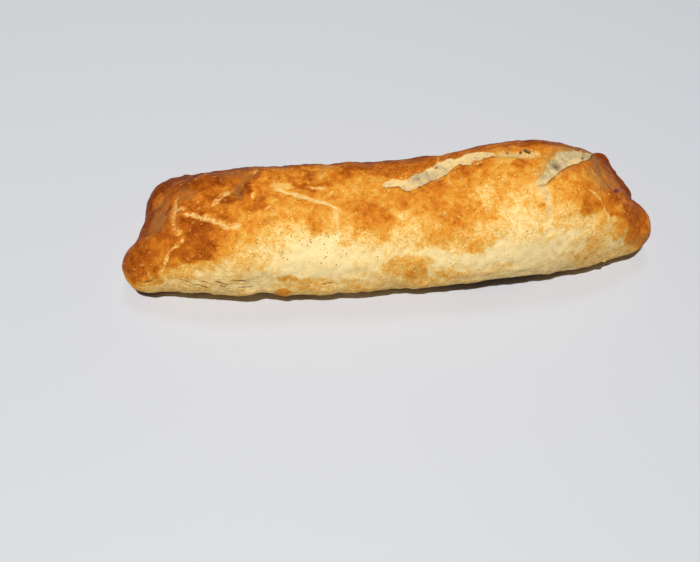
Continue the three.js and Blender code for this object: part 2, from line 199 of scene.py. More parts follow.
CRACKS = (
    # half width, depth, how dark its painted shade is, line: the flaky layers that part just above the
    # base, and small splits
    (0.26, 0.7, 0.6, ((-66.4, -33.0), (-65.0, -33.4), (-63.4, -34.4), (-62.2, -34.9), (-60.6, -35.3))),
    (0.2, 0.5, 0.5, ((-64.6, -35.2), (-63.0, -35.9), (-61.4, -36.2))),
    (0.2, 0.5, 0.5, ((-70.6, -34.4), (-69.0, -34.7), (-67.8, -35.4))),
    (0.24, 0.6, 0.5, ((-61.9, -33.3), (-58.9, -33.1), (-56.4, -33.7), (-53.9, -34.3))),
    (0.22, 0.4, 0.4, ((-65.4, -30.9), (-62.9, -31))),
    (0.26, 0.6, 0.55, ((-73.4, -36.5), (-71.4, -36.7), (-69.8, -37.3), (-68.6, -38.2))),
    (0.24, 0.5, 0.4, ((-78.4, -33.6), (-75.4, -35.6), (-72.9, -37.9))),
    (0.24, 0.5, 0.45, ((-59.4, -36.6), (-55.9, -37.3), (-52.4, -36.9))),
    (0.30, 0.6, 0.5, ((-91.5, -38), (-88.5, -38.2), (-86.5, -36), (-85.5, -34))),
    (0.35, 0.6, 0.7, ((13.9, -13.2), (14.9, -12.3), (16.5, -12))),
    (0.30, 0.4, 0.5, ((67.7, -35.5), (69, -36.3), (70.2, -36.5))),
    (0.30, 0.5, 0.3, ((-31.4, -36.6), (-27.4, -36.9), (-24.4, -36.3))),
    (0.35, 0.5, 0.2, ((-40, -0.2), (-37.4, -0.9), (-34.4, -2), (-31.9, -3.1))),
    (0.40, 0.6, 0.25, ((-17.1, -8.3), (-15.1, -6.9), (-12.6, -5.9), (-9.6, -5.4), (-6.1, -5.9))),
    (0.35, 0.6, 0.3, ((-64.8, -3.5), (-62.4, -1.9), (-60.6, -0.3), (-58.6, 1.5), (-56.9, 3.6))),
    (0.35, 0.7, 0.3, ((-73.9, -7.2), (-70.4, -8.6), (-66.9, -10.4), (-63.4, -11.3))),
    (0.35, 0.5, 0.2, ((-74.2, -15.8), (-75.8, -17.8), (-77.2, -19.6))),
    (0.45, 0.7, 0.9, ((42.2, 8.8), (43.2, 8.5))),
    (0.45, 0.7, 0.9, ((47.2, 8.3), (48.2, 7.9))),
    (0.40, 0.9, 1.0, ((49.2, 9.4), (50.2, 8.4), (51.4, 7.4))),
    (0.55, 0.8, 0.8, ((70.5, 5.7), (71.6, 6.2), (72.6, 6.3))),
    (0.30, 0.6, 0.8, ((8.9, 3.3), (9.3, 4.5))),
    (0.34, 0.5, 0.9, ((14.9, 3.2), (15.4, 3.9))),
    (0.30, 0.4, 0.5, ((12.9, 3.0), (13.5, 3.3))),
    (0.35, 0.6, 0.8, ((15.9, 7.6), (16.5, 8.6))),
    (0.30, 0.4, 0.6, ((-50, -3.3), (-49.6, -4.1))),
    (0.30, 0.4, 0.6, ((56.2, -7.7), (57.4, -8))),
    (0.30, 0.4, 0.5, ((48.5, -11.2), (49.8, -11.6), (50.2, -12.6))),
)
TEAR_FULL_WIDTH = 4.0
TEAR_BARE_WIDTH = 1.5
TEAR_ROUGHNESS = ((0.25, 1.8, 21), (0.35, 4.0, 22))  # strength, size, seed
LIP_REACH = 3.2
LIP_OVERHANG = ((0.8, -0.4, 0.9),)  # bells: strength, place behind the front edge, radius
LIP_SHADE = ((0.35, 0.6, 0.7), (0.42, -0.35, 0.48))
TEARS = (
    # depth, lift of the front edge, share of the width where the dough begins to fade, and then rows of
    # along, front edge and back edge
    (2.0, 0.9, 0.84, (
        (-5.1, 1.9, 2.3), (-3.1, -0.5, 3.1), (-1.1, -0.5, 3.7), (0.9, -0.8, 3.6), (2.9, -2.7, 3.2),
        (4.9, -3.2, 3.4), (7.9, -1.8, 5.1), (10.9, -0.9, 5.9), (12.9, 0.1, 6.9), (16.9, 1.4, 9.8),
        (18.9, 2.1, 10.6), (20.7, 3.9, 11.8), (22.7, 5.5, 12.2), (24.4, 6.3, 11.5), (27.2, 5.7, 12.4),
        (30.2, 5.2, 13.8), (32.2, 5.8, 13.7), (34.2, 6.9, 13.2), (36.2, 6.7, 12), (39.2, 6.7, 7.6),
    )),
    (1.2, 0.6, 0.72, (
        (48.2, -5.7, -5.3), (50.2, -6.3, -3.5), (52.2, -6.2, -1.5), (54.2, -5.3, 0.5),
        (57.2, -3.7, 3.5), (60.2, -2.1, 6.1), (62.2, -0.9, 7.6), (65.2, 0.4, 8.2), (68.2, 2.1, 8.7),
        (70.2, 3.1, 9.1), (73.2, 4.5, 10.6), (75.2, 6.9, 12.4), (77.2, 10.7, 14.1), (80.2, 15.8, 16.4),
    )),
)
RIDGE = ((28.7, 7.4), (30.4, 8.6), (32.7, 8.4), (35.2, 7.8), (38.2, 6.9))
RIDGE_WIDTH = 1.1
RIDGE_HEIGHT = 1.0
STEAM_HOLE = ((59.2, 1.4), 3.2, 1.2)
FOLD = ((-5.1, -50.9), (-2.1, -52.4), (0.9, -54), (3.9, -54.4), (6.9, -52.4), (10.2, -50.4), (14.2, -47.9))
FOLD_REACH = 9.0
FOLD_FADE = (-3, 3, 12, 19)  # places around between which it begins and ends
FOLD_VALLEY = ((1.9, -1.5, 1.9),)  # bells: strength, place behind the fold, radius
FOLD_SHADE = ((0.26, -1.9, 2.2), (0.24, -0.5, 0.9))
SMALL_BUBBLES = {"spacing": 1.8, "radius": 0.5, "share": 0.7, "seed": 60}
LARGE_BUBBLES = {"spacing": 5.5, "radius": 1.5, "share": 0.35, "seed": 80}
FEET = (
    # along, half length, height, reach forwards
    (-72, 8, 9, -1.2),
    (-51, 6, 9, -2.6),
    (-42, 2.6, 4, 1.0),
    (38, 21, 14, -3.0),
    (77, 3, 3, 0.8),
)

# ---- Baking, and painted shade ----

RAGGED_EDGES = ((1.8, 5.0, 0), (1.1, 2.0, 2), (0.5, 0.9, 4))  # strength, size, seed
MOTTLE = ((0.04, 6, 31), (0.05, 2.6, 32), (0.05, 1.2, 33))
# The underside's tone: a browned base, made dark brown partly as a painted shadow strip along the base
SOLE_TONE = 0.84
SOLE_MOTTLE = ((0.12, 9, 44), (0.10, 3, 45))
BASE_TONE = 0.08
TONE_STEPS = (
    # change of browning, and the places around between which it comes
    (0.40, -28, -8),
    # these two rows: the crest and back top browner from baking, and darker still as painted shade where
    # they turn from the key light
    (0.12, 0, 10),
    (0.28, 10, 20),
    (-0.55, 27, 46),
    (0.12, -30, -38),
)
PATCHES = (
    # along, around, half length, half width, browning from 0 (cream) to 1 (dark brown), strength
    (36.2, -5.1, 18, 7, 0.36, 0.8),
    (57.2, -9.4, 8, 6, 0.34, 0.7),
    (-30.4, 13.2, 16, 4, 0.50, 0.7),
    (-28.4, -24.4, 15, 8, 0.02, 0.9),
    (-60.4, -34.1, 14, 5, 0.12, 0.9),
    (56.2, -33.1, 24, 10, 0.08, 0.9),
    (46.2, -21.4, 10, 4, 0.24, 0.8),
    (70.2, -35.1, 8, 8, 0.22, 0.9),
    (40.2, -16.4, 9, 6, 0.16, 0.7),
    (-40.4, -16.4, 7, 5, 0.20, 0.7),
    (-52.4, -25.4, 5, 4, 0.26, 0.7),
    (-78.4, -30.1, 7, 5, 0.34, 0.9),
    (-88, -18, 11, 9, 0.76, 0.9),
    (-92, -30, 8, 9, 0.78, 0.9),
    (-97, -31, 5, 8, 0.88, 0.9),
    (-80.4, -11.4, 4, 4, 0.84, 0.9),
    (-87, -5, 7, 5, 0.96, 0.9),
    (-84, -10.5, 6, 1.6, 0.98, 0.9),
    (-78.4, -12.4, 4, 6, 0.80, 0.8),
    (-70.4, -11.4, 5.5, 4, 0.80, 0.95),
    (-75, -16, 4, 3.5, 0.88, 0.8),
    (-71, -27, 5, 3, 0.42, 0.8),
    (-80, -26.5, 3, 3, 0.60, 0.8),
    (-70.4, -16.4, 6, 4, 0.76, 0.9),
    (-73.4, -21.4, 8, 4, 0.75, 0.9),
    (-60.4, -16.4, 5, 3, 0.46, 0.7),
    (-62.4, -6.1, 6, 3, 0.56, 0.9),
    (-59.4, -1.2, 5, 2.4, 0.88, 0.9),
    (-70.4, -0.1, 4, 3, 0.62, 0.9),
    (-62.4, 3.9, 4, 2, 0.60, 0.9),
    (-66.4, 9.2, 9, 3, 0.76, 0.9),
    (-78.4, 12.2, 7, 5, 0.82, 0.9),
    (-60.4, 15.2, 8, 4, 0.80, 0.9),
    (-91, 0, 6, 8, 0.92, 0.9),
    (-97, -4, 5, 13, 0.98, 0.9),
    (-99, -25, 4, 10, 0.95, 0.9),
    (-90, 14, 4, 5, 0.62, 0.8),
    # painted shade: a brown dab on the shaded side of the fold
    (-56, 5, 3, 4.5, 0.82, 0.9),
    (-50, 17, 3, 5, 0.45, 0.7),
    (-45.5, 8.0, 3.2, 2.5, 0.26, 0.8),
    (-52.4, 3.9, 2, 4, 0.86, 0.9),
    (-49.4, 9.2, 3, 3.5, 0.70, 0.9),
    (-53.5, 10.5, 2, 5, 0.84, 0.8),
    (-73.5, 2.8, 4, 2, 0.74, 0.8),
    (-50.4, -4.1, 6, 3.5, 0.66, 0.9),
    (-43.4, -1.1, 3, 2, 0.50, 0.8),
    (-42.4, 10.2, 5, 3, 0.55, 0.8),
    (-38.4, -3.1, 5, 2.5, 0.50, 0.8),
    (-38.4, 18.2, 9, 3, 0.84, 0.8),
    (-30.4, -9, 7, 3.5, 0.50, 0.8),
    (-29.4, -13.4, 3, 3, 0.55, 0.7),
    (-30.4, 3.5, 6, 1.8, 0.80, 0.9),
    (-33.4, 9.2, 6, 3, 0.66, 0.8),
    (-22.4, 4.9, 6, 3, 0.60, 0.8),
    (-19.1, -1.1, 5, 3, 0.50, 0.8),
    (-17.1, 9.7, 3, 3, 0.74, 0.9),
    (-10.1, 13.2, 8, 3, 0.76, 0.9),
    (-20, 11, 3, 5, 0.42, 0.7),
    (-8.1, 2.9, 7, 4, 0.42, 0.9),
    (-12.1, -2.1, 8, 2.5, 0.40, 0.8),
    (-9.1, -9.9, 6, 3.5, 0.54, 0.9),
    (-9.1, -14.4, 6, 2.5, 0.52, 0.8),
    (-7.1, -17.4, 6, 2, 0.50, 0.7),
    (2.9, 9.2, 8, 3, 0.66, 0.9),
    (5.9, 14.2, 8, 3, 0.72, 0.9),
    (2.9, -6.1, 9, 2.5, 0.50, 0.8),
    (13.9, -2.1, 5, 2.5, 0.54, 0.8),
    (11.9, -11.4, 6, 3, 0.48, 0.8),
    (27.2, 1.8, 7, 2.4, 0.58, 0.9),
    (27, 3.0, 8, 3.0, 0.56, 0.9),
    (26.2, -1.1, 6, 2, 0.46, 0.8),
    (21.5, -13.4, 6, 4.5, 0.56, 0.8),
    (30.5, -14, 3.5, 5, 0.60, 0.8),
    (21, -13.5, 2.5, 2, 0.46, 0.6),
    (18.9, -8.1, 5, 3, 0.46, 0.8),
    (17.9, -19.4, 8, 4, 0.52, 0.8),
    (19.5, -25, 3, 2, 0.36, 0.8),
    (27.2, -22.4, 6, 3, 0.48, 0.8),
    (8.9, -20.4, 7, 3, 0.44, 0.7),
    (32.2, -7.1, 4, 5, 0.26, 0.8),
    (40.2, 1.9, 6, 3, 0.38, 0.8),
    (46.2, 2.1, 2.2, 1.5, 0.62, 0.9),
    (42.2, -9.4, 6, 2.4, 0.34, 0.7),
    (48.2, -3.1, 6, 2, 0.34, 0.7),
    (1.9, -31.1, 9, 4.5, 0.44, 0.85),
    (4.9, -35.1, 5, 4, 0.52, 0.7),
    (20.2, -35.0, 7, 3, 0.34, 0.8),
    (34.2, -34.1, 5, 3, 0.34, 0.8),
    (-32.4, -36.9, 9, 2.2, 0.36, 0.9),
    (4.9, -39.1, 8, 3, 0.30, 0.6),
    (34.2, 16.2, 14, 3, 0.66, 0.8),
    (20, 16.5, 5, 2.5, 0.50, 0.7),
    (40, 11, 3, 2, 0.40, 0.8),
    (50.2, 13.2, 7, 2.4, 0.80, 0.9),
    (64.2, 13.2, 12, 4, 0.94, 0.95),
    (60.2, -6.1, 7, 4, 0.42, 0.8),
    (69.2, -14.4, 5, 3, 0.58, 0.9),
    (68.2, -2.1, 5, 3, 0.55, 0.8),
    (49.5, -12, 1.4, 1.4, 0.66, 0.8),
    (55, -4, 2.5, 1.8, 0.56, 0.7),
    (50, -6.8, 3, 3, 0.24, 0.7),
    (82.2, -16.4, 7, 5, 0.64, 0.9),
    (60, -15, 4, 3, 0.22, 0.7),
    (80.2, -24.4, 4, 4, 0.52, 0.8),
    (89.5, -23, 8, 10, 0.78, 0.85),
    (91, -33, 6, 8, 0.76, 0.9),
    (95, -16, 6, 8, 0.82, 0.9),
    (84, -9, 8, 3.5, 0.84, 0.85),
    (80.5, -22, 3.5, 8, 0.52, 0.7),
    (75.8, -22.5, 1.4, 4, 0.18, 0.8),
    (72, -26, 6, 7, 0.36, 0.6),
    (88, -4.8, 5, 1.6, 0.86, 0.9),
    (85.5, 5, 6, 7, 0.90, 0.9),
    (77.2, 4.0, 3.5, 9, 0.84, 0.85),
    (81, 0, 3, 9, 0.84, 0.85),
    (74.2, -10.4, 4, 2, 0.56, 0.8),
    (-40.4, -33.8, 3, 1.5, 0.40, 0.9),
    (-35.4, -34.6, 7, 1.5, 0.42, 0.9),
    (-84, -38, 2, 2, 0.50, 0.8),
    (2.9, -12.4, 4, 2, 0.26, 0.8),
    (1.9, -18.4, 5, 3.5, 0.16, 0.8),
    (-40.4, 3.9, 4, 1.6, 0.22, 0.8),
    (-40, 5.6, 2.5, 1.4, 0.60, 0.7),
    (-37, 9.5, 5, 3, 0.44, 0.7),
    (-24.4, 12.2, 3, 5, 0.36, 0.6),
    (-50.7, -0.9, 0.8, 1.2, 0.16, 0.9),
    (-42, -41.5, 3, 2, 0.56, 0.9),
    (-12.1, -17.9, 4, 2, 0.12, 0.6),
    (-20, -19, 3, 3.5, 0.36, 0.7),
    (-20.1, -11.4, 3, 3, 0.28, 0.7),
)
GREY_PATCHES = (
    # along, around, half length, half width, strength: thin crust that stayed pale and greyish green, and a
    # few dabs of painted shade
    (12.4, 3.0, 7, 3.5, 1.0),
    (17.5, 5.0, 3, 3, 0.7),
    (5.9, -0.1, 3, 3, 0.4),
    (53.5, -2.0, 4, 3, 0.9),
    (59, 2.5, 5, 4.5, 1.0),
    (65, 6.5, 5, 4, 1.0),
    (72.2, 8.9, 5, 3.5, 0.9),
    (-50.4, 13.2, 3, 8, 0.4),
    (-55.0, 4.5, 2, 3, 0.4),
    (-75.4, 2.9, 4, 4, 0.5),
    (-78.4, -5, 1.8, 9, 0.6),
    (-88, 4, 6, 8, 0.4),
    (-57, 14, 6, 3, 0.5),
    (-42, 15, 7, 3, 0.4),
    (-48, 23, 5, 4, 0.6),
    (-24.4, 12.2, 2, 5, 0.5),
    (-60.4, -34.1, 11, 4, 0.25),
    # painted shade on the lower front of the right half
    (62.2, -33.1, 22, 11, 0.35),
    (90, -37, 7, 5, 0.7),
    # these two: grey thin crust beside the tab at the right end, darkened further as painted shade
    (76.2, 3.9, 4, 10, 0.95),
    (74.2, -3.1, 4, 7, 0.9),
    (45.2, 6.9, 8, 2, 0.7),
    (-42.9, -22, 1.2, 1.0, 0.6),
    (-44.9, -10.9, 1.5, 1.5, 0.4),
)
BROWNING_STOPS = (
    ("cream", 0.0),
    ("straw", 0.15),
    ("pale_gold", 0.30),
    ("golden", 0.45),
    ("orange_brown", 0.60),
    ("brown", 0.77),
    ("dark_brown", 1.0),
)
# bake: browning, with painted shade in a few places, open dough and seams; marks: dark, which is painted
# shade, grey, which is thin crust and painted shade in hollows, and tip, the pale blister tops that are
# partly painted glints
MASK_LAYERS = {"bake": ("browning", "dough", "seam"), "marks": ("dark", "grey", "tip")}

# ---- Flakes, specks and jam ----

FLAKE_RINGS = 5
FLAKE_SIDES = 16
FLAKE_WAVES = ((0.14, 2), (0.10, 3), (0.07, 7))  # depth, waves around the rim
FLAKE_SUNK = 0.14
FLAKE_THICKNESS = 0.12
FLAKE_CLEARANCE = 0.05
FLAKES = (
    # along, around, half length, half width, turn in degrees, how far the free edge curls up
    (-50.7, -0.9, 0.7, 1.4, 24, 0.35),
    (-69.2, -8.4, 2.0, 0.50, -28, 0.40),
    (-62.4, -11.4, 1.8, 0.45, -20, 0.35),
    (-78.6, -9.4, 0.5, 1.8, 4, 0.30),
    (-61.4, 0.9, 2.0, 0.50, 38, 0.35),
    (-34.4, -2.7, 2.2, 0.8, -24, 0.4),
    (6.4, -3.1, 1.8, 0.8, 26, 0.5),
    (16.4, 0.5, 2.0, 0.8, 22, 0.5),
    (23.2, 4.9, 1.6, 0.8, 18, 0.5),
    (31.7, 4.9, 1.8, 0.7, 10, 0.5),
    (15.2, -12.4, 1.6, 0.8, 30, 0.5),
    (57.7, -4, 2.0, 0.7, 28, 0.4),
    (77.7, -41.1, 1.6, 0.9, -14, 0.7),
    (-42, -42.7, 2.4, 0.9, 0, 0.4),
    (-30, 38, 3.0, 0.9, 6, 0.6),
    (18, 37, 2.6, 0.9, -8, 0.6),
    (62, 38, 3.0, 0.9, 4, 0.6),
    (-68, 37, 2.6, 0.9, 10, 0.6),
)
SPECK_GRID = (4, 7)  # rings and sides
SPECK_RADII = (0.11, 0.25)
SPECK_SHAPE = (1.35, 0.85, 0.45)  # length, width and thickness, in radii
SPECK_LIMITS = (96, 44)  # the farthest along and around
SPECKS = (
    # along, around, spread along, spread around, how many
    (-31.4, -17.4, 8, 3, 34),
    (-24, -19, 7, 3, 16),
    (-48.4, -16.4, 5, 4, 12),
    (-38.4, -26.4, 8, 5, 10),
    (-22.4, -23.4, 6, 4, 9),
    (-68.4, -15.4, 8, 6, 12),
    (4.9, -23.4, 10, 6, 9),
    (28.2, -13.4, 10, 7, 10),
    (48.2, -19.4, 14, 8, 12),
    (13.9, 3.9, 5, 1.5, 5),
    (60.2, 2.9, 7, 2, 5),
    (-5.1, 0.9, 70, 12, 22),
    (0, 38, 60, 8, 20),
)
JAM_SIDES = 12
JAM_FLATNESS = 0.45
JAM_SEEP = (
    # half width, line
    (0.75, ((82.2, -6.7), (84, -6.8), (86.5, -5.8), (89, -4.2))),
    (0.45, ((81, -7.7), (82.2, -7.5), (83.6, -8))),
)

# ---- Studio, with the lights in metres ----

SKY_COLOUR = (1.0, 0.97, 0.92, 1.0)
FLOOR_HALF = 3000.0
FLOOR_DROP = 0.2
KEY_TURN = -0.25  # from the camera's azimuth and elevation, in radians
KEY_RISE = 0.31
KEY_DISTANCE = 2.0
KEY_SIZE = 0.06
FILL_PLACE = (0.05, 0.5, 1.1)
FILL_SIZE = 0.3
SENSOR_WIDTH = 36.0


# ---- Small helpers ----


def smoothstep(low, high, value):
    """0 below low, 1 above high, and 3t^2 - 2t^3 between them."""
    t = np.clip((value - low) / (high - low), 0, 1)
    return t * t * (3 - 2 * t)


def between(low, full, past, high, value):
    """0 below low and above high, 1 from full to past, and a smooth step on each side."""
    return smoothstep(low, full, value) * (1 - smoothstep(past, high, value))


def bell(distance, radius):
    """The bell curve exp(-(distance / radius)^2)."""
    return np.exp(-((distance / radius) ** 2))


def bells(value, rows):
    """Bell curves added up, from rows of strength, middle and radius."""
    return sum(strength * bell(value - middle, radius) for strength, middle, radius in rows)


def groove(distance, width, bank, fibres=1.0):
    """A valley one bell deep, less its fibres, with a low bank at each side: a bell whose place and radius
    are in widths."""
    at, radius = bank
    return BANK_HEIGHT * bell(distance - at * width, radius * width) - bell(distance, width) * fibres


def oval(places, along, around, half_length, half_width):
    """A soft-edged oval dab: 1 inside, and 0 beyond its edge."""
    off = ((places[0] - along) / half_length) ** 2 + ((places[1] - around) / half_width) ** 2
    return 1 - smoothstep(0.3, 1.6, off)


def smooth_min(a, b, blend):
    """The lower of a and b, with a parabola of width blend where they cross."""
    h = np.clip(0.5 + 0.5 * (b - a) / blend, 0, 1)
    return b + (a - b) * h - blend * h * (1 - h)


def unit(vectors):
    """The vectors over their lengths."""
    return vectors / np.maximum(np.linalg.norm(vectors, axis=-1, keepdims=True), 1e-9)


def turns(count):
    """Evenly spaced angles once around."""
    return np.linspace(0, 2 * np.pi, count, endpoint=False)


def lattice(cells, seed):
    """A repeatable random value between -1 and 1 for each whole-number cell, from its bits, multiplied and
    shifted."""
    mixed = cells @ np.array(HASH_PRIMES) + seed * HASH_SEED_PRIME
    mixed &= 0xFFFFFFFF
    mixed = ((mixed ^ (mixed >> 13)) * 1274126177) & 0xFFFFFFFF
    mixed = ((mixed ^ (mixed >> 16)) * 2246822519) & 0xFFFFFFFF
    return ((mixed ^ (mixed >> 15)) & 0xFFFFFF) / float(0xFFFFFF) * 2 - 1


def noise(points, size, seed):
    """Smooth random values between -1 and 1: those of the eight corners of each point's cell, blended."""
    q = points / size
    cell = np.floor(q).astype(np.int64)
    f = q - cell
    f = f**3 * (f * (f * 6 - 15) + 10)
    total = 0
    for corner in np.ndindex(2, 2, 2):
        weight = np.prod(np.where(corner, f, 1 - f), axis=-1)
        total = total + weight * lattice(cell + np.array(corner), seed)
    return total


def layers(points, rows, shift=0):
    """Noises added up, from rows of strength, size and seed."""
    return sum(strength * noise(points, size, seed + shift) for strength, size, seed in rows)


def drift(points, size, seed):
    """A direction that wanders: one noise for each of X, Y and Z."""
    return np.stack([noise(points, size, seed + k) for k in range(3)], -1)


def bubbles(points, spacing, radius, share, seed):
    """Round bumps: one at a random place of some of the cells, each a bell of its distance, 0 to 1."""
    q = points / spacing
    cell = np.floor(q).astype(np.int64)
    total = np.zeros(points.shape[:-1])
    for step in np.ndindex(3, 3, 3):
        near = cell + np.array(step) - 1
        middle = near + 0.5 + 0.4 * np.stack([lattice(near, seed + k) for k in range(3)], -1)
        there = lattice(near, seed + 3) < 2 * share - 1
        size = lattice(near, seed + 4)
        distance = np.linalg.norm(q - middle, axis=-1) * spacing
        bump = bell(distance, radius * (1 + 0.4 * size)) * (0.75 + 0.25 * size)
        total = np.maximum(total, np.where(there, bump, 0))
    return total


def through(points, steps):
    """A Catmull-Rom curve through the points: on each span, the cubic that leaves both its ends along the
    chord of their neighbours."""
    p = np.array(points, float)
    p = np.vstack([2 * p[0] - p[1], p, 2 * p[-1] - p[-2]])
    t = np.linspace(0, 1, steps, endpoint=False)[:, None, None]
    a, b, c, d = p[:-3], p[1:-2], p[2:-1], p[3:]
    q = 0.5 * (2 * b + (c - a) * t + (2 * a - 5 * b + 4 * c - d) * t**2 + (3 * b - a - 3 * c + d) * t**3)
    return np.vstack([q.transpose(1, 0, 2).reshape(-1, p.shape[1]), p[-2]])


def near_line(points, line, reach):
    """The distance to a line's nearest sample and how far along it that is, for points within reach."""
    distance = np.full(points.shape[:-1], OUT_OF_REACH)
    share = np.zeros(points.shape[:-1])
    close = np.all((points >= line.min(0) - reach) & (points <= line.max(0) + reach), axis=-1)
    if close.any():
        gaps = np.linalg.norm(points[close][:, None] - line[None], axis=-1)
        distance[close] = gaps.min(1)
        share[close] = gaps.argmin(1) / (len(line) - 1)
    return distance, share


# ---- Main shape ----


class Roll:
    """The main shape of the pastry, as a surface of the two parameters along and around."""

    def __init__(self, sizes):
        self.s = sizes
        self.angle = np.linspace(0, 2 * np.pi, SECTION_STEPS + 1)
        direction = np.stack([0 * self.angle, np.sin(self.angle), np.cos(self.angle)], -1)
        origin = np.broadcast_to([0, self.centre_y(0.0), CORE_HEIGHT], direction.shape)
        section = self.ray_hit(origin, direction)
        steps = np.linalg.norm(np.diff(section, axis=0), axis=1)
        self.around = np.concatenate([[0], np.cumsum(steps)])
        self.on_base = section[:, 2] <= 0
        self.girth = self.around[-1]

    def centre_y(self, x):
        """The Y of the middle line: a parabola that bows at the middle."""
        return self.s.centre_line + self.s.bow * (1 - (x / TAPER_LENGTH) ** 2)

    def depth(self, p):
        """Below zero inside: the sum of powers of the relative distances along, across, above and below,
        blended with the distance from each lobe, a rod with a radius at both of its points."""
        s, q = self.s, BODY_SQUARENESS
        x, y, z = p[..., 0], p[..., 1], p[..., 2]
        swell = bell(x - s.hump_at, s.hump_length)
        offset = y - self.centre_y(x)
        fuller = s.front_fullness * bell(x - s.front_at, s.front_length)
        half = s.half_width - s.end_narrowing * np.abs(x / TAPER_LENGTH) ** 3
        half = half + np.where(offset > 0, s.hump_widening * swell, fuller)
        along = np.abs(x) / s.half_length
        across = np.abs(offset) / half
        above = np.maximum(z - s.widest_level, 0) / (s.height + s.hump_rise * swell - s.widest_level)
        below = np.maximum(s.widest_level - z, 0) / (s.widest_level + s.undercut)
        total = along ** q["along"] + across ** q["across"] + above ** q["above"] + below ** q["below"]
        distance = (total ** (1 / q["blend"]) - 1) * FIELD_SCALE
        for a, radius_a, b, radius_b, blend in LOBES:
            a, b = np.array(a, float), np.array(b, float)
            t = np.clip((p - a) @ (b - a) / ((b - a) @ (b - a)), 0, 1)
            radius = radius_a + (radius_b - radius_a) * t
            rod = np.linalg.norm(p - a - t[..., None] * (b - a), axis=-1) - radius
            distance = smooth_min(distance, rod, blend)
        return distance

    def ray_hit(self, origin, direction):
        """Where each ray leaves the pastry, by halving, or the floor if that comes first."""
        inside = np.zeros(direction.shape[:-1])
        outside = np.full_like(inside, FARTHEST)
        for _ in range(HALVINGS):
            middle = (inside + outside) / 2
            within = self.depth(origin + middle[..., None] * direction) < 0
            inside = np.where(within, middle, inside)
            outside = np.where(within, outside, middle)
        down = np.maximum(-direction[..., 2], 1e-9)
        to_floor = np.where(direction[..., 2] < 0, origin[..., 2] / down, np.inf)
        hit = origin + np.minimum(inside, to_floor)[..., None] * direction
        hit[..., 2] = np.where(to_floor <= inside, 0, hit[..., 2])
        return hit

    def at(self, along, around):
        """The point of the surface: a ray from the core line, turned about it by the angle of "around", and
        beyond the line's end tilted outwards by the distance past it over the cap's reach."""
        along, around = np.asarray(along, float), np.asarray(around, float)
        angle = np.interp(np.mod(around, self.girth), self.around, self.angle)
        core = np.clip(along, -CORE_HALF, CORE_HALF)
        tilt = np.clip((np.abs(along) - CORE_HALF) / CAP_REACH, 0, np.pi / 2)
        parts = (np.sign(along) * np.sin(tilt), np.cos(tilt) * np.sin(angle), np.cos(tilt) * np.cos(angle))
        direction = np.stack(np.broadcast_arrays(*parts), -1)
        origin = np.stack(np.broadcast_arrays(core, self.centre_y(core), CORE_HEIGHT), -1) + 0 * direction
        return self.ray_hit(origin, direction)

    def outward(self, p):
        """The unit slope of the depth."""
        step = np.eye(3) * SLOPE_STEP
        return unit(np.stack([self.depth(p + e) - self.depth(p - e) for e in step], -1))

    def places(self, count, base_share):
        """Evenly spaced places around, with the base counted at base_share of its length."""
        weight = np.diff(self.around) * np.where(self.on_base[1:], base_share, 1.0)
        travelled = np.concatenate([[0], np.cumsum(weight)])
        around = np.interp(np.linspace(0, travelled[-1], count, endpoint=False), travelled, self.around)
        return np.where(around > self.girth / 2, around - self.girth, around)
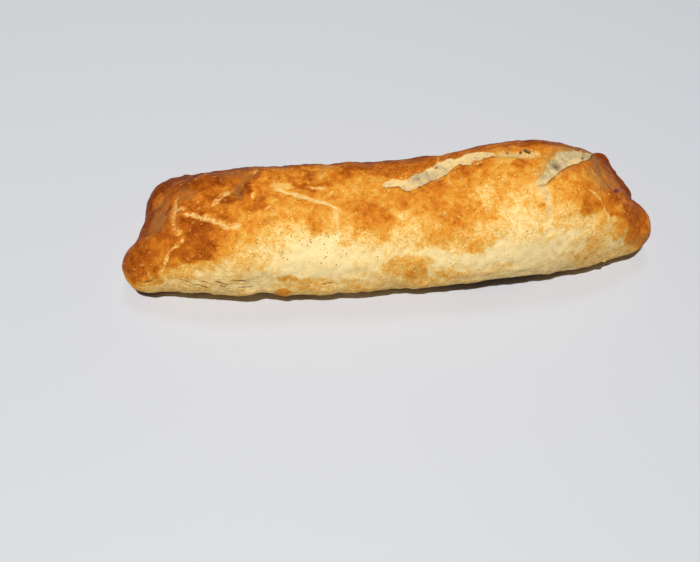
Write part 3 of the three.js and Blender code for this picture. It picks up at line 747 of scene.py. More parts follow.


# ---- Relief, baking and painted shade ----


class Crust:
    """The relief, the baking and the painted shade of the crust over the main shape."""

    def __init__(self, sizes):
        self.s = sizes
        self.roll = Roll(sizes)

    def spots(self, points, rows):
        """The sum of each row's height times the bell of the distance from its place."""
        total = 0
        for along, around, radius, height in rows:
            distance = np.linalg.norm(points - self.roll.at(along, around), axis=-1)
            total = total + height * bell(distance, radius)
        return total

    def near(self, points, line, steps, reach):
        """The distance from a line of places, smoothed and laid on the main shape, and how far along it."""
        curve = through(line, steps)
        return near_line(points, self.roll.at(curve[:, 0], curve[:, 1]), reach)

    def marks(self, rows, points, uneven, steps, reach, fade):
        """For each row its width, depth and shade, the uneven distance from its line, and how it fades at
        both ends. Reach is how far its bells matter, in widths and in millimetres."""
        for width, depth, shade, line in rows:
            distance, share = self.near(points, line, steps, reach[0] * width + reach[1])
            yield width, depth, shade, distance * uneven, between(0, fade, 1 - fade, 1, share)

    def tear(self, row, places, points):
        """A tear: behind the front edge the crust drops by the depth times 1 - share^1.6, where share runs
        from the front edge to the back edge. In front of it the lip rises, and falls off as
        exp(-distance / reach). Gives the height, the overhang of the lip, how much dough is bare and the
        painted shade under the lip."""
        depth, lift, fade, table = row
        along, around = places
        rows = through(table, LINE_STEPS)
        front, back = (np.interp(along, rows[:, 0], rows[:, edge]) for edge in (1, 2))
        first, last = rows[0, 0], rows[-1, 0]
        in_length = between(first - 0.5, first + 1.5, last - 1.5, last + 0.5, along)
        width = np.maximum(back - front, 0.01)
        inward = around - front
        share = inward / width
        gape = np.clip(width / TEAR_FULL_WIDTH, 0, 1) * in_length
        past = smoothstep(-0.35, 0.35, inward)
        rough = layers(points, TEAR_ROUGHNESS)
        floor = rough - depth * (1 - np.clip(share, 0, 1) ** 1.6)
        lip = lift * np.exp(-np.maximum(-inward, 0) / LIP_REACH)
        height = gape * (past * (1 - smoothstep(0.9, 1.12, share)) * floor + (1 - past) * lip)
        bare = 1 - smoothstep(fade - 0.05, fade + 0.4, share + 0.14 * rough)
        dough = in_length * np.clip(width / TEAR_BARE_WIDTH, 0, 1) * past * bare
        return height, gape * bells(inward, LIP_OVERHANG), dough, gape * bells(inward, LIP_SHADE)

    def relief(self, base, warped, fine, places):
        """The height of every lump, seam, crack, tear, hole and fold over the main shape, and the masks."""
        s = self.s
        mask = dict.fromkeys(("seam", "dark", "dough", "overhang"), np.zeros(base.shape[:-1]))
        height = s.lumps * layers(base, LUMPS) + self.spots(warped, DOMES) - self.spots(warped, DENTS)
        uneven = 1 + 0.35 * noise(base, 3.0, 5)
        fibres = 0.75 + 0.35 * noise(base, 1.2, 6)
        for width, depth, pale, distance, end in self.marks(SEAMS, warped, uneven, **SEAM_LINE):
            end = SEAM_END_SHARE + (1 - SEAM_END_SHARE) * end
            valley = groove(distance, width, SEAM_BANK, fibres)
            height = height + SEAM_SCALE * s.seam_depth * end * depth * valley
            bare = pale * end * np.clip(1.05 - 0.5 * distance / width, 0, 1)
            mask["seam"] = np.maximum(mask["seam"], bare)
        for width, depth, shade, distance, end in self.marks(CRACKS, fine, uneven, **CRACK_LINE):
            height = height + end * depth * groove(distance, width, CRACK_BANK)
            # painted shade in each crack, in the crevice colour
            mask["dark"] = np.maximum(mask["dark"], shade * end * bell(distance, width * 1.2))
        for row in TEARS:
            rise, over, bare, under = self.tear(row, places, base)
            height = height + s.tear_depth * rise
            mask["overhang"] = mask["overhang"] + over
            mask["dough"] = np.maximum(mask["dough"], bare)
            # painted shade under each tear's lip, in the crevice colour
            mask["dark"] = np.maximum(mask["dark"], under)

        distance, _ = self.near(warped, RIDGE, 10, 6)
        ridge = bell(distance, RIDGE_WIDTH)
        height = height + RIDGE_HEIGHT * ridge
        mask["dough"] = mask["dough"] * (1 - 0.9 * ridge)

        hole_at, hole_radius, hole_depth = STEAM_HOLE
        distance = np.linalg.norm(fine - self.roll.at(*hole_at), axis=-1)
        height = height - hole_depth * bell(distance, hole_radius) + 0.3 * bell(distance - hole_radius, 0.8)
        shade = 1 - smoothstep(0.3, 1.0, distance / hole_radius) + bell(distance, 0.4 * hole_radius)
        mask["dark"] = np.maximum(mask["dark"], 0.30 * shade)

        rows = through(FOLD, LINE_STEPS)
        behind = places[0] - np.interp(places[1], rows[:, 0], rows[:, 1])
        in_fold = between(*FOLD_FADE, places[1])
        step = smoothstep(-0.5, 0.5, behind) * np.exp(-np.maximum(behind, 0) / FOLD_REACH)
        height = height + in_fold * (s.fold_step * step - bells(behind, FOLD_VALLEY))
        mask["dark"] = np.maximum(mask["dark"], in_fold * bells(behind, FOLD_SHADE))
        return height, mask

    def shape(self, along, around):
        """The finished surface, as points on the grid, and the masks for its material."""
        roll = self.roll
        base = roll.at(along, around)
        wide, narrow = drift(base, 5.0, 11), drift(base, 1.7, 14)
        warped = base + 0.8 * wide + 0.35 * narrow
        fine = base + 0.3 * wide + 0.25 * narrow
        wander = 0.5 * wide + 0.3 * narrow
        height, mask = self.relief(base, warped, fine, (along + wander[..., 0], around + wander[..., 1]))

        tone = self.browning(along, around, base)
        crisp = 1 - mask["dough"]
        bubbly = smoothstep(0.42, 0.62, tone) * smoothstep(-0.25, 0.25, noise(base, 9, 41)) * crisp
        small = bubbles(base, **SMALL_BUBBLES)
        height = height + bubbly * 0.22 * small + crisp * 0.35 * bubbles(base, **LARGE_BUBBLES)
        # bubble tops paler and the crust between them browner; the pale tips are partly painted glints
        tone = tone + 0.10 * np.clip(height, -1, 1) + 0.08 * bubbly * (0.5 - small)
        mask["tip"] = bubbly * smoothstep(0.5, 0.85, small)

        fade = smoothstep(1.0, 6.0, base[..., 2])
        forward = unit(roll.at(along, around + 0.5) - roll.at(along, around - 0.5))
        over = mask.pop("overhang") * fade
        points = base + roll.outward(base) * (height * fade)[..., None] + forward * over[..., None]
        points[..., 1] -= self.foot(base)
        points[..., 2] = np.where(base[..., 2] <= 0, 0, np.maximum(points[..., 2], 0))

        # The sole: the browned underside, with the crevice colour over it as a painted shadow along the
        # base edge, taller on the front near along 36
        edge = 1.0 + 2.0 * bell(base[..., 0] - 36, 22) * (base[..., 1] < 0)
        sole = 1 - smoothstep(1.2 * edge, 2.2 * edge, points[..., 2] + 0.4 * noise(base, 2.0, 43))
        tone = tone * (1 - sole) + (SOLE_TONE + layers(base, SOLE_MOTTLE)) * sole
        mask["dark"] = np.maximum(mask["dark"] * fade, 0.7 * sole * smoothstep(0, 0.02, points[..., 2]))
        for key in ("seam", "dough", "tip"):
            mask[key] = mask[key] * fade
        mask["browning"] = np.clip(tone, 0, 1)
        # painted shade in the hollows of the relief: the grey mask, and so the olive thin-crust colour,
        # grows with depth
        valley = 0.75 * smoothstep(0.35, 1.3, -height) * smoothstep(0.35, 0.6, tone) * (1 - sole)
        mask["grey"] = np.maximum(self.grey(along, around, base), valley)
        return points, mask

    def foot(self, base):
        """How far the front foot stands forward: bells along the roll that run out with height."""
        x, y, z = base[..., 0], base[..., 1], base[..., 2]
        front = smoothstep(10, 16, self.roll.centre_y(x) - y)
        feet = (reach * bell(x - at, half) * np.clip(1 - z / top, 0, 1) for at, half, top, reach in FEET)
        return front * sum(feet)

    def ragged(self, along, around, base, seed):
        """The places moved by noise, so that what is painted at them has ragged edges."""
        return [place + layers(base, RAGGED_EDGES, seed + k) for k, place in enumerate((along, around))]

    def browning(self, along, around, base):
        """How brown the crust is: a base tone by place, with each patch dabbed over it. On the back top and
        beside the fold, part of it is painted shade.
        """
        across = self.ragged(along, around, base, 50)
        tone = BASE_TONE
        for change, low, high in TONE_STEPS:
            tone = tone + change * smoothstep(low, high, across[1])
        tone = tone + 0.30 * smoothstep(62, 90, across[0]) * (1 - smoothstep(20, 40, np.abs(around)))
        tone = tone + 0.20 * smoothstep(-55, -66, across[0]) * smoothstep(-30, -22, across[1])
        end, under = smoothstep(84, 98, np.abs(along)), smoothstep(30, 50, np.abs(around))
        tone = tone + 0.34 * end * (1 - under)
        end_foot = 0.32 + 0.40 * smoothstep(1, 13, base[..., 2])
        tone = tone + (end_foot - tone) * end * under
        for *spot, brown, strength in PATCHES:
            dab = strength * oval(across, *spot)
            tone = tone * (1 - dab) + brown * dab
        mottle = 0.6 + 0.8 * smoothstep(0.1, 0.4, tone) - 0.6 * smoothstep(0.55, 0.75, tone)
        return tone + layers(base, MOTTLE) * mottle

    def grey(self, along, around, base):
        """How grey and translucent the crust is, with a few dabs of painted shade."""
        across = self.ragged(along, around, base, 70)
        tone = np.zeros(base.shape[:-1])
        for *spot, strength in GREY_PATCHES:
            tone = np.maximum(tone, strength * oval(across, *spot))
        return tone


# ---- Meshes ----


def closed_skin(rings, count):
    """Faces for a grid of rings closed around, with a pole before the first ring and one after the last:
    the quads, then the triangles. The rings come first in the list of vertices, and then the two poles."""
    ring, place = np.meshgrid(np.arange(rings - 1) * count, np.arange(count), indexing="ij")
    after = (place + 1) % count
    quads = np.stack([ring + place, ring + count + place, ring + count + after, ring + after], -1)
    place, after = place[0], after[0]
    first, last = np.full((2, count), [[rings * count], [rings * count + 1]])
    top = (rings - 1) * count
    caps = np.vstack([np.stack([first, place, after], -1), np.stack([last, top + after, top + place], -1)])
    return quads.reshape(-1, 4), caps


def copied(faces, copies, size):
    """The faces of one shape for each of its copies, numbered on by the shape's count of vertices."""
    shift = np.arange(copies)[:, None, None] * size
    return (faces + shift).reshape(-1, faces.shape[-1])


def add_masks(mesh, masks):
    """The masks as colour attributes: three to each, and an opaque alpha."""
    for name, parts in MASK_LAYERS.items():
        colour = np.stack([*(masks[part].ravel() for part in parts), np.ones(len(mesh.vertices))], -1)
        layer = mesh.attributes.new(name, "FLOAT_COLOR", "POINT")
        layer.data.foreach_set("color", colour.astype(np.float32).ravel())


def make_mesh(name, vertices, quads, triangles, masks=None):
    """A mesh object from arrays in millimetres of the part's frame, with its masks as colour attributes."""
    mesh = bpy.data.meshes.new(name)
    mesh.vertices.add(len(vertices))
    mesh.vertices.foreach_set("co", (vertices * MM).astype(np.float32).ravel())
    loops = np.concatenate([quads.ravel(), triangles.ravel()]).astype(np.int32)
    sizes = np.concatenate([np.full(len(quads), 4), np.full(len(triangles), 3)])
    mesh.loops.add(len(loops))
    mesh.loops.foreach_set("vertex_index", loops)
    mesh.polygons.add(len(sizes))
    mesh.polygons.foreach_set("loop_start", np.concatenate([[0], np.cumsum(sizes)[:-1]]).astype(np.int32))
    mesh.update(calc_edges=True)
    mesh.validate()
    mesh.polygons.foreach_set("use_smooth", np.ones(len(mesh.polygons), bool))
    if masks:
        add_masks(mesh, masks)
    piece = bpy.data.objects.new(name, mesh)
    bpy.context.scene.collection.objects.link(piece)
    return piece


# ---- Materials ----


class Shader:
    """Short ways to add and join the nodes of one material."""

    def __init__(self, name):
        self.material = bpy.data.materials.new(name)
        self.material.use_nodes = True
        self.tree = self.material.node_tree
        self.tree.nodes.clear()
        self.out = self.add("ShaderNodeOutputMaterial")
        self.skin = self.add("ShaderNodeBsdfPrincipled")
        self.join(self.skin.outputs["BSDF"], self.out.inputs["Surface"])

    def add(self, kind, inputs=None, **settings):
        """A node, with its settings and what goes into its named inputs."""
        node = self.tree.nodes.new(kind)
        for key, value in settings.items():
            setattr(node, key, value)
        for key, value in (inputs or {}).items():
            self.put(value, node.inputs[key])
        return node

    def join(self, source, target):
        """A link from one socket to another."""
        self.tree.links.new(source, target)

    def put(self, value, target):
        """A number or colour set on a socket, or another socket joined to it."""
        if hasattr(value, "is_output"):
            self.join(value, target)
        else:
            target.default_value = value

    def finish(self, **inputs):
        """Fills the surface's inputs, with _ for each space in their names, and gives the material."""
        for key, value in inputs.items():
            self.put(value, self.skin.inputs[key.replace("_", " ")])
        return self.material

    def place(self):
        """The place on the piece, in metres."""
        return self.add("ShaderNodeTexCoord").outputs["Object"]

    def grain(self, scale, detail=2.0, rough=0.5):
        """Noise with its features about 1 / scale metres wide."""
        inputs = {"Scale": scale, "Detail": detail, "Roughness": rough, "Vector": self.place()}
        return self.add("ShaderNodeTexNoise", inputs).outputs["Fac"]

    def cells(self, scale):
        """Scattered cells about 1 / scale metres wide: distance from the middle, and the cell's colour."""
        return self.add("ShaderNodeTexVoronoi", {"Scale": scale, "Vector": self.place()}).outputs

    def parts(self, colour):
        """A colour's red, green and blue."""
        return self.add("ShaderNodeSeparateColor", {"Color": colour}).outputs[:3]

    def attribute(self, name):
        """The three masks of a colour attribute."""
        return self.parts(self.add("ShaderNodeAttribute", attribute_name=name).outputs["Color"])

    def maths(self, operation, a, b, clamp=False):
        """Two values joined by an operation."""
        return self.add("ShaderNodeMath", {0: a, 1: b}, operation=operation, use_clamp=clamp).outputs[0]

    def times(self, a, b):
        """The product of two values."""
        return self.maths("MULTIPLY", a, b)

    def plus(self, a, b, clamp=False):
        """The sum of two values."""
        return self.maths("ADD", a, b, clamp)

    def span(self, value, low, high, to_low=0.0, to_high=1.0):
        """A smooth step from to_low, where the value is low, to to_high, where it is high."""
        inputs = dict(enumerate((value, low, high, to_low, to_high)))
        return self.add("ShaderNodeMapRange", inputs, interpolation_type="SMOOTHSTEP").outputs["Result"]

    def ramp(self, value, stops):
        """The colours of the stops, blended by the value."""
        node = self.add("ShaderNodeValToRGB", {"Fac": value})
        elements = node.color_ramp.elements
        while len(elements) < len(stops):
            elements.new(0.5)
        for element, (at, colour) in zip(elements, stops):
            element.position = at
            element.color = colour
        return node.outputs["Color"]

    def mix(self, share, a, b):
        """Colour a, with a share of colour b."""
        node = self.add("ShaderNodeMix", {"Factor": share, 6: a, 7: b}, data_type="RGBA")
        return node.outputs[2]

    def bump(self, height, distance, strength, onto=None):
        """The surface's slope with a height added, over another slope where one is given."""
        inputs = {"Height": height, "Distance": distance, "Strength": strength}
        if onto is not None:
            inputs["Normal"] = onto
        return self.add("ShaderNodeBump", inputs).outputs["Normal"]


def rgba(colour):
    """An opaque colour."""
    return (*colour[:3], 1.0)


def pimples(m):
    """Small blisters in clusters: how pale their tops are, partly as painted glints, how dark their rims
    are, and their height.
    """
    distance, colour = m.cells(620)[:2]
    chosen, size, _ = m.parts(colour)
    there = m.times(m.span(chosen, 0.50, 0.55), m.span(m.grain(110), 0.44, 0.56))
    away = m.times(distance, m.span(size, 0.0, 1.0, 0.8, 1.5))
    away = m.plus(away, m.span(m.grain(2600, 1), 0.3, 0.7, -0.04, 0.04))
    ring = m.times(m.span(away, 0.04, 0.16, 0.3, 1.0), m.span(away, 0.22, 0.32, 1.0, 0.0))
    rim = m.times(m.span(away, 0.24, 0.34), m.span(away, 0.36, 0.50, 1.0, 0.0))
    return m.times(there, ring), m.times(there, rim), m.times(there, m.span(away, 0.0, 0.34, 1.0, 0.0))


def crust_material(colours):
    """Baked suet crust: cream to dark brown by the browning mask, with pale open dough, grey thin places,
    pale blister tips on the brown parts, fine dark flecks and a patchy egg glaze. Painted shade darkens
    the cracks, the tear lips, the steam hole, the fold and the base edge, and greys the hollows; the pale
    tips are partly painted glints."""
    m = Shader("baked crust")
    browning, dough, seam = m.attribute("bake")
    dark, grey, tip = m.attribute("marks")
    coarse, fine = m.grain(420, 4, 0.6), m.grain(1300, 3, 0.6)
    pimple, pimple_rim, pimple_lift = pimples(m)
    baked = m.span(browning, 0.18, 0.42)
    tone = m.plus(browning, m.span(coarse, 0.38, 0.62, -0.07, 0.05))
    turning = m.times(m.span(browning, 0.04, 0.18, 0.3, 1.0), m.span(browning, 0.30, 0.46, 1.0, 0.45))
    tone = m.plus(tone, m.times(m.span(fine, 0.38, 0.62, -0.11, 0.09), turning))
    # pale blister tops, partly a paler bake and partly painted glints, with browner rims
    tone = m.plus(tone, m.times(m.times(pimple, baked), -0.22))
    tone = m.plus(tone, m.times(m.times(pimple_rim, baked), 0.13))
    uneven = m.plus(m.span(fine, 0.35, 0.65, -0.14, 0.14), m.span(coarse, 0.35, 0.65, -0.16, 0.16))
    seam_share = m.times(m.span(m.plus(seam, uneven), 0.12, 0.66), m.span(seam, 0.02, 0.25))
    pale = m.span(fine, 0.35, 0.62, 0.32, 0.12)
    tone = m.plus(tone, m.times(seam_share, m.maths("SUBTRACT", pale, tone)), clamp=True)
    colour = m.ramp(tone, [(at, rgba(getattr(colours, key))) for key, at in BROWNING_STOPS])

    # grey thin crust, and painted shade in hollows and on shaded places, in the olive thin-crust colour
    grey_share = m.times(grey, m.span(coarse, 0.3, 0.65, 0.4, 1.0))
    colour = m.mix(m.times(grey_share, 0.6), colour, rgba(colours.thin_crust_and_shade))
    dough = m.times(m.span(m.plus(dough, uneven), 0.38, 0.55), m.span(dough, 0.03, 0.2))
    seam_colour = m.mix(m.span(coarse, 0.42, 0.62, 0.0, 0.5), rgba(colours.seam), rgba(colours.thin_crust_and_shade))
    colour = m.mix(m.times(seam_share, m.span(seam, 0.2, 0.8, 0.12, 0.62)), colour, seam_colour)
    open_dough = m.mix(grey_share, rgba(colours.open_dough), rgba(colours.grey_dough))
    open_dough = m.mix(m.span(fine, 0.45, 0.75, 0.0, 0.45), open_dough, rgba(colours.pale_gold))
    damp = m.span(m.grain(600, 3, 0.6), 0.48, 0.66, 0.0, 0.42)
    colour = m.mix(dough, colour, m.mix(damp, open_dough, rgba(colours.damp_dough)))
    # the pale tips of the larger bubbles, partly painted glints
    colour = m.mix(m.times(tip, 0.4), colour, rgba(colours.straw))
    fleck = m.times(m.span(m.cells(520)["Distance"], 0.10, 0.17, 1.0, 0.0), m.span(m.grain(90), 0.52, 0.60))
    colour = m.mix(m.times(fleck, 0.55), colour, rgba(colours.orange_brown))
    # painted shade: the crevice colour in the cracks, under the tear lips, in the steam hole, beside the
    # fold and along the base
    colour = m.mix(m.span(dark, 0.0, 0.75), colour, rgba(colours.crevice))

    rough = m.maths("SUBTRACT", 0.60, m.times(m.span(tone, 0.15, 0.6), 0.22))
    rough = m.plus(rough, m.times(m.maths("SUBTRACT", fine, 0.5), 0.3))
    rough = m.plus(rough, m.times(dough, 0.15), clamp=True)
    normal = m.bump(pimple_lift, 0.00030, 0.7)
    normal = m.bump(coarse, 0.0007, 0.5, normal)
    normal = m.bump(fine, 0.0002, 0.5, normal)
    return m.finish(
        Base_Color=colour,
        Roughness=rough,
        Specular_IOR_Level=0.012,
        Specular_Tint=(1.0, 0.80, 0.5, 1.0),
        Subsurface_Weight=0.06,
        Subsurface_Scale=0.0015,
        Subsurface_Radius=(1.0, 0.5, 0.2),
        Normal=normal,
    )


def plain_material(name, colour, roughness, shine):
    """One colour, mottled by noise, with a little relief."""
    m = Shader(name)
    spots = m.grain(800)
    darker = rgba([0.55 * part for part in colour])
    return m.finish(
        Base_Color=m.mix(m.span(spots, 0.35, 0.75, 0.0, 0.5), rgba(colour), darker),
        Roughness=roughness,
        Specular_IOR_Level=shine,
        Normal=m.bump(spots, 0.0002, 0.4),
    )


# ---- Properties ----


def number(name, description, default, low=0.0, **more):
    """A property that is a plain number."""
    return bpy.props.FloatProperty(name=name, description=description, default=default, min=low, **more)


def length(name, description, default, low=-200.0):
    """A property in millimetres."""
    return number(f"{name} (mm)", description, default, low, max=200.0, precision=2)


def count(name, description, default, low):
    """A property that is a whole number."""
    return bpy.props.IntProperty(name=name, description=description, default=default, min=low)


def angle(name, description, degrees):
    """A property that is an angle."""
    return number(name, description, math.radians(degrees), -math.pi, subtype="ANGLE")


def tint(name, description, colour):
    """A property that is a colour."""
    return bpy.props.FloatVectorProperty(
        name=name, description=description, subtype="COLOR", size=3, min=0.0, max=1.0, default=colour
    )


class ClangerSizes(bpy.types.PropertyGroup):
    """Sizes of the pastry, in millimetres."""

    half_length: length("Half length", "From the middle to each end face", 90.0, 20)
    half_width: length("Half width", "From the middle line to each side", 26.2, 5)
    end_narrowing: length("End narrowing", "How much less wide each side is 100 mm from the middle", 4.0, 0)
    height: length("Height", "Height of the crest away from the hump", 32.0, 10)
    widest_level: length("Widest level", "Height of the widest part of the section", 10.0, 1)
    undercut: length("Undercut", "How far below the base the section's lower curve would close", 2.5, 0)
    centre_line: length("Middle line", "Y of the middle line 100 mm from the middle", -0.5)
    bow: length("Bow", "How far the middle bows, minus towards the front", -2.5)
    hump_at: length("Hump place", "Where the fuller right half is highest", 56.0)
    hump_length: length("Hump length", "Half length of the hump", 28.5, 1)
    hump_rise: length("Hump rise", "Extra height of the hump", 5.5, 0)
    hump_widening: length("Hump widening", "Extra width of the hump at the back", 3.5, 0)
    front_fullness: length("Front fullness", "Extra width of the front side of the right half", 2.2, 0)
    front_at: length("Front fullness place", "Where the front side is fullest", 36.0)
    front_length: length("Front fullness length", "Half length of the fuller front", 24.0, 1)
    fold_step: length("Fold step", "Height of the overlap on the left half", 2.0, 0)
    lumps: number("Lumps", "Strength of the uneven surface", 1.0)
    seam_depth: number("Seam depth", "Strength of the seams", 1.0)
    tear_depth: number("Tear depth", "Strength of the tears", 1.0)
    rings: count("Rings", "Rings of the grid between the ends", 277, 20)
    cap_rings: count("Cap rings", "Rings over each end", 50, 5)
    places: count("Places", "Points around each ring", 236, 20)
    base_share: number("Base share", "How closely the base is divided, to the rest", 0.25, 0.05, max=1.0)


class ClangerColours(bpy.types.PropertyGroup):
    """Colours of the pastry, as linear values."""

    cream: tint("Cream", "Palest crust, low on the sides", (0.97, 0.75, 0.355))
    straw: tint("Straw", "Barely baked crust", (0.89, 0.58, 0.195))
    pale_gold: tint("Pale gold", "Lightly baked crust", (0.80, 0.43, 0.088))
    golden: tint("Golden", "Golden crust", (0.74, 0.30, 0.033))
    orange_brown: tint("Orange brown", "Well baked crust", (0.615, 0.188, 0.016))
    brown: tint("Brown", "Brown crust", (0.42, 0.099, 0.0078))
    dark_brown: tint("Dark brown", "Darkest crust", (0.19, 0.034, 0.003))
    seam: tint("Seam", "Dough in the seams", (0.79, 0.59, 0.31))
    open_dough: tint("Open dough", "Soft dough inside the tears", (0.84, 0.62, 0.28))
    grey_dough: tint("Grey dough", "Greyish dough in the tears", (0.49, 0.40, 0.24))
    # also the colour of painted shade in hollows and on shaded places
    thin_crust_and_shade: tint("Thin crust", "Thin crust that stayed dull and olive", (0.37, 0.20, 0.065))
    damp_dough: tint("Damp dough", "Darker blotches in the open dough", (0.36, 0.25, 0.11))
    crevice: tint("Crevice", "Shade deep in cracks", (0.085, 0.05, 0.018))
    herb: tint("Herb", "Dark specks in the crust", (0.27, 0.12, 0.035))
    jam: tint("Jam", "Leaked jam", (0.22, 0.03, 0.012))


class ClangerStudio(bpy.types.PropertyGroup):
    """The floor, the lights and the camera."""

    azimuth: angle("Azimuth", "How far round the roll the camera stands", -8.5)
    elevation: angle("Elevation", "How high above the floor the camera looks from", 54.53)
    roll: angle("Roll", "How far the camera is turned about its own view", 2.7)
    distance: number("Distance", "From the camera to the point it looks at", 0.28987, subtype="DISTANCE")
    lens: number("Lens", "Focal length in millimetres", 38.57, 1.0)
    aim: bpy.props.FloatVectorProperty(
        name="Aim", description="Point looked at", subtype="XYZ", default=(-0.01639, -0.01386, -0.00553)
    )
    key_power: number("Key light", "Power of the key light in watts", 40.5)
    fill_power: number("Fill light", "Power of the overhead light in watts", 1.5)
    sky: number("Sky", "Strength of the even light", 0.065)
    floor: tint("Floor", "Colour of the floor", (0.60, 0.61, 0.64))


def settings():
    """The scene's property groups."""
    scene = bpy.context.scene
    return scene.clanger_sizes, scene.clanger_colours, scene.clanger_studio


# ---- Pieces ----


SURFACE = {"centre": np.zeros(3)}  # the middle of the baked crust's own box, on its floor


def to_frame(points):
    """Moves points of the main shape so that the crust has the solid's centre and stands on its floor."""
    low, high = (np.array(corner) / MM for corner in ROLL_BOX)
    return points + np.array([*((low + high) / 2)[:2], low[2]]) - SURFACE["centre"]


def add_piece(name, vertices, faces, material, masks=None):
    """A piece of the pastry, with its material. It moves with the roll."""
    piece = make_mesh(name, to_frame(vertices), *faces, masks)
    piece.data.materials.append(material)
    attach(piece, "root")
    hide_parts("pastry_roll")


class CLANGER_OT_bake_crust(bpy.types.Operator):
    """Make the crust, with its seams, tears and browning"""

    bl_idname = "clanger.bake_crust"
    bl_label = "Bake the crust"

    def execute(self, context):
        sizes, colours, _ = settings()
        crust = Crust(sizes)
        cap = np.linspace(CORE_HALF, POLE, sizes.cap_rings + 2)[1:-1]
        along = np.concatenate([-cap[::-1], np.linspace(-CORE_HALF, CORE_HALF, sizes.rings), cap])
        around = crust.roll.places(sizes.places, sizes.base_share)
        points, masks = crust.shape(along[:, None], around[None, :])
        poles, pole_masks = crust.shape(np.array([[-POLE, POLE]]), np.array([[0.0]]))
        vertices = np.vstack([points.reshape(-1, 3), poles.reshape(-1, 3)])
        masks = {key: np.concatenate([masks[key].ravel(), pole_masks[key].ravel()]) for key in masks}
        low, high = vertices.min(0), vertices.max(0)
        SURFACE["centre"] = np.array([*((low + high) / 2)[:2], low[2]])
        add_piece("crust", vertices, closed_skin(*points.shape[:2]), crust_material(colours), masks)
        return {"FINISHED"}


def flake_sheets(crust, rng):
    """Thin scales that lie on the crust and curl up at one edge. Each is an oval of two sheets, closed at
    the rim: the place goes out from the middle by share * wavy radius, and the height grows with the square
    of how far it is towards the free edge. Gives vertices, faces and masks."""
    rows = np.array(FLAKES, float).T[:, :, None, None]
    at_along, at_around, half_length, half_width, turned, curl = rows
    turn, turned = turns(FLAKE_SIDES), np.radians(turned)
    start = rng.uniform(0, 2 * np.pi, (len(FLAKES), len(FLAKE_WAVES), 1))
    rim = 1 + sum(deep * np.sin(waves * turn + start[:, k]) for k, (deep, waves) in enumerate(FLAKE_WAVES))
    out = np.linspace(0, 1, FLAKE_RINGS + 1)[:, None] * rim[:, None]
    p, q = out * np.cos(turn), out * np.sin(turn)
    along = at_along + half_length * p * np.cos(turned) - half_width * q * np.sin(turned)
    around = at_around + half_length * p * np.sin(turned) + half_width * q * np.cos(turned)
    points, masks = crust.shape(along, around)
    normal = crust.roll.outward(crust.roll.at(along, around))
    free = np.clip(0.5 - 0.5 * q, 0, 1.2)
    height = curl * free**2 * np.clip(1 - 0.9 * p**2, 0, 1) - FLAKE_SUNK
    under = points + normal * height[..., None]
    upper = points + normal * (height + FLAKE_THICKNESS)[..., None]

    def both(top, bottom):
        """The top sheet's rings outwards, the bottom one's inwards, and both middles as the two poles."""
        kind = (len(FLAKES), -1, top.shape[-1])
        rings = top[:, 1:].reshape(kind), bottom[:, :0:-1].reshape(kind)
        return np.concatenate([*rings, top[:, 0, :1], bottom[:, 0, :1]], axis=1)

    vertices = both(upper, under)
    faces = [copied(part, *vertices.shape[:2]) for part in closed_skin(2 * FLAKE_RINGS, FLAKE_SIDES)]
    masks = {key: both(value[..., None], value[..., None]) for key, value in masks.items()}
    masks["browning"] = masks["browning"] * 0.8
    masks["dark"] = masks["dark"] * 0.3
    return vertices.reshape(-1, 3), faces, masks


class CLANGER_OT_lift_flakes(bpy.types.Operator):
    """Make the thin flakes that curl up from the crust"""

    bl_idname = "clanger.lift_flakes"
    bl_label = "Lift the flakes"

    def execute(self, context):
        sizes, _, _ = settings()
        vertices, faces, masks = flake_sheets(Crust(sizes), np.random.default_rng(SEED))
        vertices[:, 2] = np.maximum(vertices[:, 2], FLAKE_CLEARANCE)
        add_piece("flakes", vertices, faces, bpy.data.materials["baked crust"], masks)
        return {"FINISHED"}


def unit_ball(rings, sides):
    """A ball of radius 1: rings of sines and cosines from the top down, and then its two poles."""
    tilt, spin = np.linspace(0, np.pi, rings + 2)[1:-1, None], turns(sides)
    parts = (np.sin(tilt) * np.cos(spin), np.sin(tilt) * np.sin(spin), np.cos(tilt) + 0 * spin)
    return np.vstack([np.stack(parts, -1).reshape(-1, 3), [[0, 0, 1], [0, 0, -1]]])


class CLANGER_OT_scatter_specks(bpy.types.Operator):
    """Make the small dark specks of herb and pepper in the crust"""

    bl_idname = "clanger.scatter_specks"
    bl_label = "Scatter the specks"

    def execute(self, context):
        sizes, colours, _ = settings()
        crust = Crust(sizes)
        rng = np.random.default_rng(SEED + 1)
        rows = [
            np.stack([rng.normal(along, spread_along, many), rng.normal(around, spread_around, many)], -1)
            for along, around, spread_along, spread_around, many in SPECKS
        ]
        along, around = np.vstack(rows).T
        kept = (np.abs(along) < SPECK_LIMITS[0]) & (np.abs(around) < SPECK_LIMITS[1])
        along, around = along[kept], around[kept]
        points, _ = crust.shape(along, around)
        ahead, _ = crust.shape(along + 0.3, around)
        normal, forward = crust.roll.outward(points), unit(ahead - points)
        turn = rng.uniform(0, np.pi, (len(points), 1))
        longer = np.cos(turn) * forward + np.sin(turn) * np.cross(normal, forward)
        axes = np.stack([longer, np.cross(normal, longer), normal], 1)
        radius = rng.uniform(*SPECK_RADII, (len(points), 1, 1)) * np.array(SPECK_SHAPE)[:, None]
        ball = unit_ball(*SPECK_GRID)
        vertices = points[:, None] + ball @ (axes * radius)
        faces = [copied(part, *vertices.shape[:2]) for part in closed_skin(*SPECK_GRID)]
        material = plain_material("herb and pepper", colours.herb, 0.6, 0.03)
        add_piece("specks", vertices.reshape(-1, 3), faces, material)
        return {"FINISHED"}


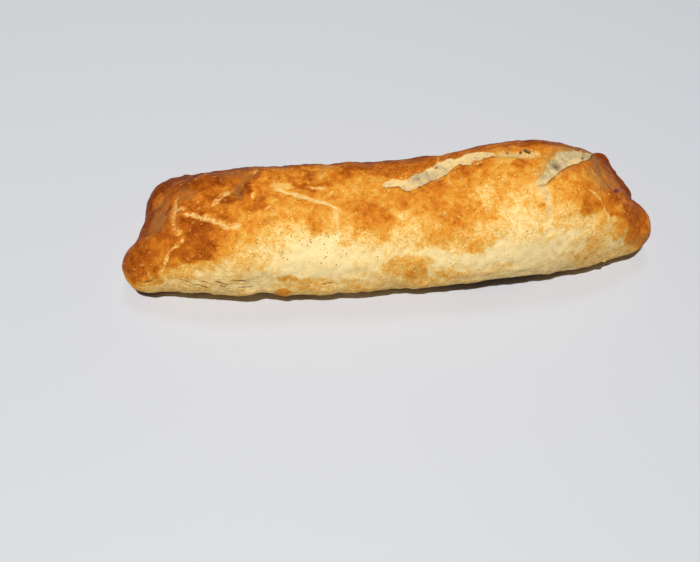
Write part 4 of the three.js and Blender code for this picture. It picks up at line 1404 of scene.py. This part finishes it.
def jam_bead(crust, half_width, line):
    """A flat bead along a line on the crust: its section is an oval, and its radius follows the square root
    of the sine of how far along it is, made uneven by noise. Gives its vertices, rings and sides."""
    curve = through(line, LINE_STEPS)
    points, _ = crust.shape(curve[:, 0], curve[:, 1])
    normal = crust.roll.outward(points)
    side = np.cross(normal, unit(np.gradient(points, axis=0)))
    share = np.linspace(0, 1, len(curve))
    radius = half_width * np.sqrt(np.clip(np.sin(np.pi * share), 0, 1)) + 0.05
    radius = radius * (1 + 0.3 * noise(points, 1.5, 90))
    spin = turns(JAM_SIDES)[:, None]
    ring = side[:, None] * np.cos(spin) + JAM_FLATNESS * normal[:, None] * np.sin(spin)
    rings = (points[:, None] + radius[:, None, None] * ring)[1:-1]
    return np.vstack([rings.reshape(-1, 3), points[[0, -1]]]), rings.shape[:2]


class CLANGER_OT_leak_filling(bpy.types.Operator):
    """Make the jam that has seeped out and baked on at the right end"""

    bl_idname = "clanger.leak_filling"
    bl_label = "Leak the filling"

    def execute(self, context):
        sizes, colours, _ = settings()
        crust = Crust(sizes)
        vertices, quads, caps = np.zeros((0, 3)), [], []
        for half_width, line in JAM_SEEP:
            bead, grid = jam_bead(crust, half_width, line)
            for faces, part in zip((quads, caps), closed_skin(*grid)):
                faces.append(part + len(vertices))
            vertices = np.vstack([vertices, bead])
        faces = np.vstack(quads), np.vstack(caps)
        add_piece("jam", vertices, faces, plain_material("baked jam", colours.jam, 0.25, 0.4))
        return {"FINISHED"}


def area_light(name, place, target, size, power):
    """A square lamp that faces a point."""
    lamp = bpy.data.lights.new(name, "AREA")
    lamp.size = size
    lamp.energy = power
    light = bpy.data.objects.new(name, lamp)
    light.location = place
    light.rotation_euler = (Vector(target) - Vector(place)).to_track_quat("-Z", "Y").to_euler()
    bpy.context.scene.collection.objects.link(light)


def way_to(azimuth, elevation):
    """The unit direction at an azimuth, which is 0 in front of the roll, and an elevation."""
    level = math.cos(elevation)
    return Vector((math.sin(azimuth) * level, -math.cos(azimuth) * level, math.sin(elevation)))


class CLANGER_OT_set_studio(bpy.types.Operator):
    """Make the floor, the lights and the camera"""

    bl_idname = "clanger.set_studio"
    bl_label = "Set the studio"

    def execute(self, context):
        _, _, studio = settings()
        scene = context.scene
        scene.view_settings.view_transform = "Standard"
        world = bpy.data.worlds.new("studio")
        world.use_nodes = True
        background = world.node_tree.nodes["Background"]
        background.inputs["Color"].default_value = SKY_COLOUR
        background.inputs["Strength"].default_value = studio.sky
        scene.world = world

        corners = np.array([[-1, -1, 0], [1, -1, 0], [1, 1, 0], [-1, 1, 0]]) * FLOOR_HALF
        corners = corners - [0, 0, FLOOR_DROP]
        floor = make_mesh("floor", corners, np.array([[0, 1, 2, 3]]), np.zeros((0, 3), int))
        paper = Shader("pale floor").finish(Base_Color=rgba(studio.floor), Roughness=0.6)
        floor.data.materials.append(paper)

        aim = Vector(studio.aim)
        key_way = way_to(studio.azimuth + KEY_TURN, studio.elevation + KEY_RISE)
        area_light("key", aim + KEY_DISTANCE * key_way, aim, KEY_SIZE, studio.key_power)
        area_light("overhead", FILL_PLACE, aim, FILL_SIZE, studio.fill_power)

        back = way_to(studio.azimuth, studio.elevation)
        camera = bpy.data.cameras.new("camera")
        camera.sensor_width = SENSOR_WIDTH
        camera.lens = studio.lens
        camera.clip_start, camera.clip_end = 0.01, 20.0
        eye = bpy.data.objects.new("camera", camera)
        place = Matrix.Translation(aim + back * studio.distance)
        facing = (-back).to_track_quat("-Z", "Y").to_matrix().to_4x4()
        eye.matrix_world = place @ facing @ Matrix.Rotation(studio.roll, 4, "Z")
        scene.collection.objects.link(eye)
        scene.camera = eye
        return {"FINISHED"}


class CLANGER_PT_panel(bpy.types.Panel):
    """The clanger's pieces"""

    bl_label = "Clanger"
    bl_idname = "CLANGER_PT_panel"
    bl_space_type = "VIEW_3D"
    bl_region_type = "UI"
    bl_category = "Clanger"

    def draw(self, context):
        for operator in OPERATORS:
            self.layout.operator(operator.bl_idname)
        for group in settings():
            box = self.layout.box()
            for key in group.bl_rna.properties.keys():
                if key not in ("rna_type", "name"):
                    box.prop(group, key)


OPERATORS = (
    CLANGER_OT_set_studio,
    CLANGER_OT_bake_crust,
    CLANGER_OT_lift_flakes,
    CLANGER_OT_scatter_specks,
    CLANGER_OT_leak_filling,
)
GROUPS = {"clanger_sizes": ClangerSizes, "clanger_colours": ClangerColours, "clanger_studio": ClangerStudio}
CLASSES = (*GROUPS.values(), *OPERATORS, CLANGER_PT_panel)


def register():
    for cls in CLASSES:
        bpy.utils.register_class(cls)
    for name, group in GROUPS.items():
        setattr(bpy.types.Scene, name, bpy.props.PointerProperty(type=group))


def unregister():
    for name in GROUPS:
        delattr(bpy.types.Scene, name)
    for cls in reversed(CLASSES):
        bpy.utils.unregister_class(cls)


def main():
    register()
    bpy.ops.clanger.set_studio()
    bpy.ops.clanger.bake_crust()
    bpy.ops.clanger.lift_flakes()
    bpy.ops.clanger.scatter_specks()
    bpy.ops.clanger.leak_filling()


if __name__ == "__main__":
    main()
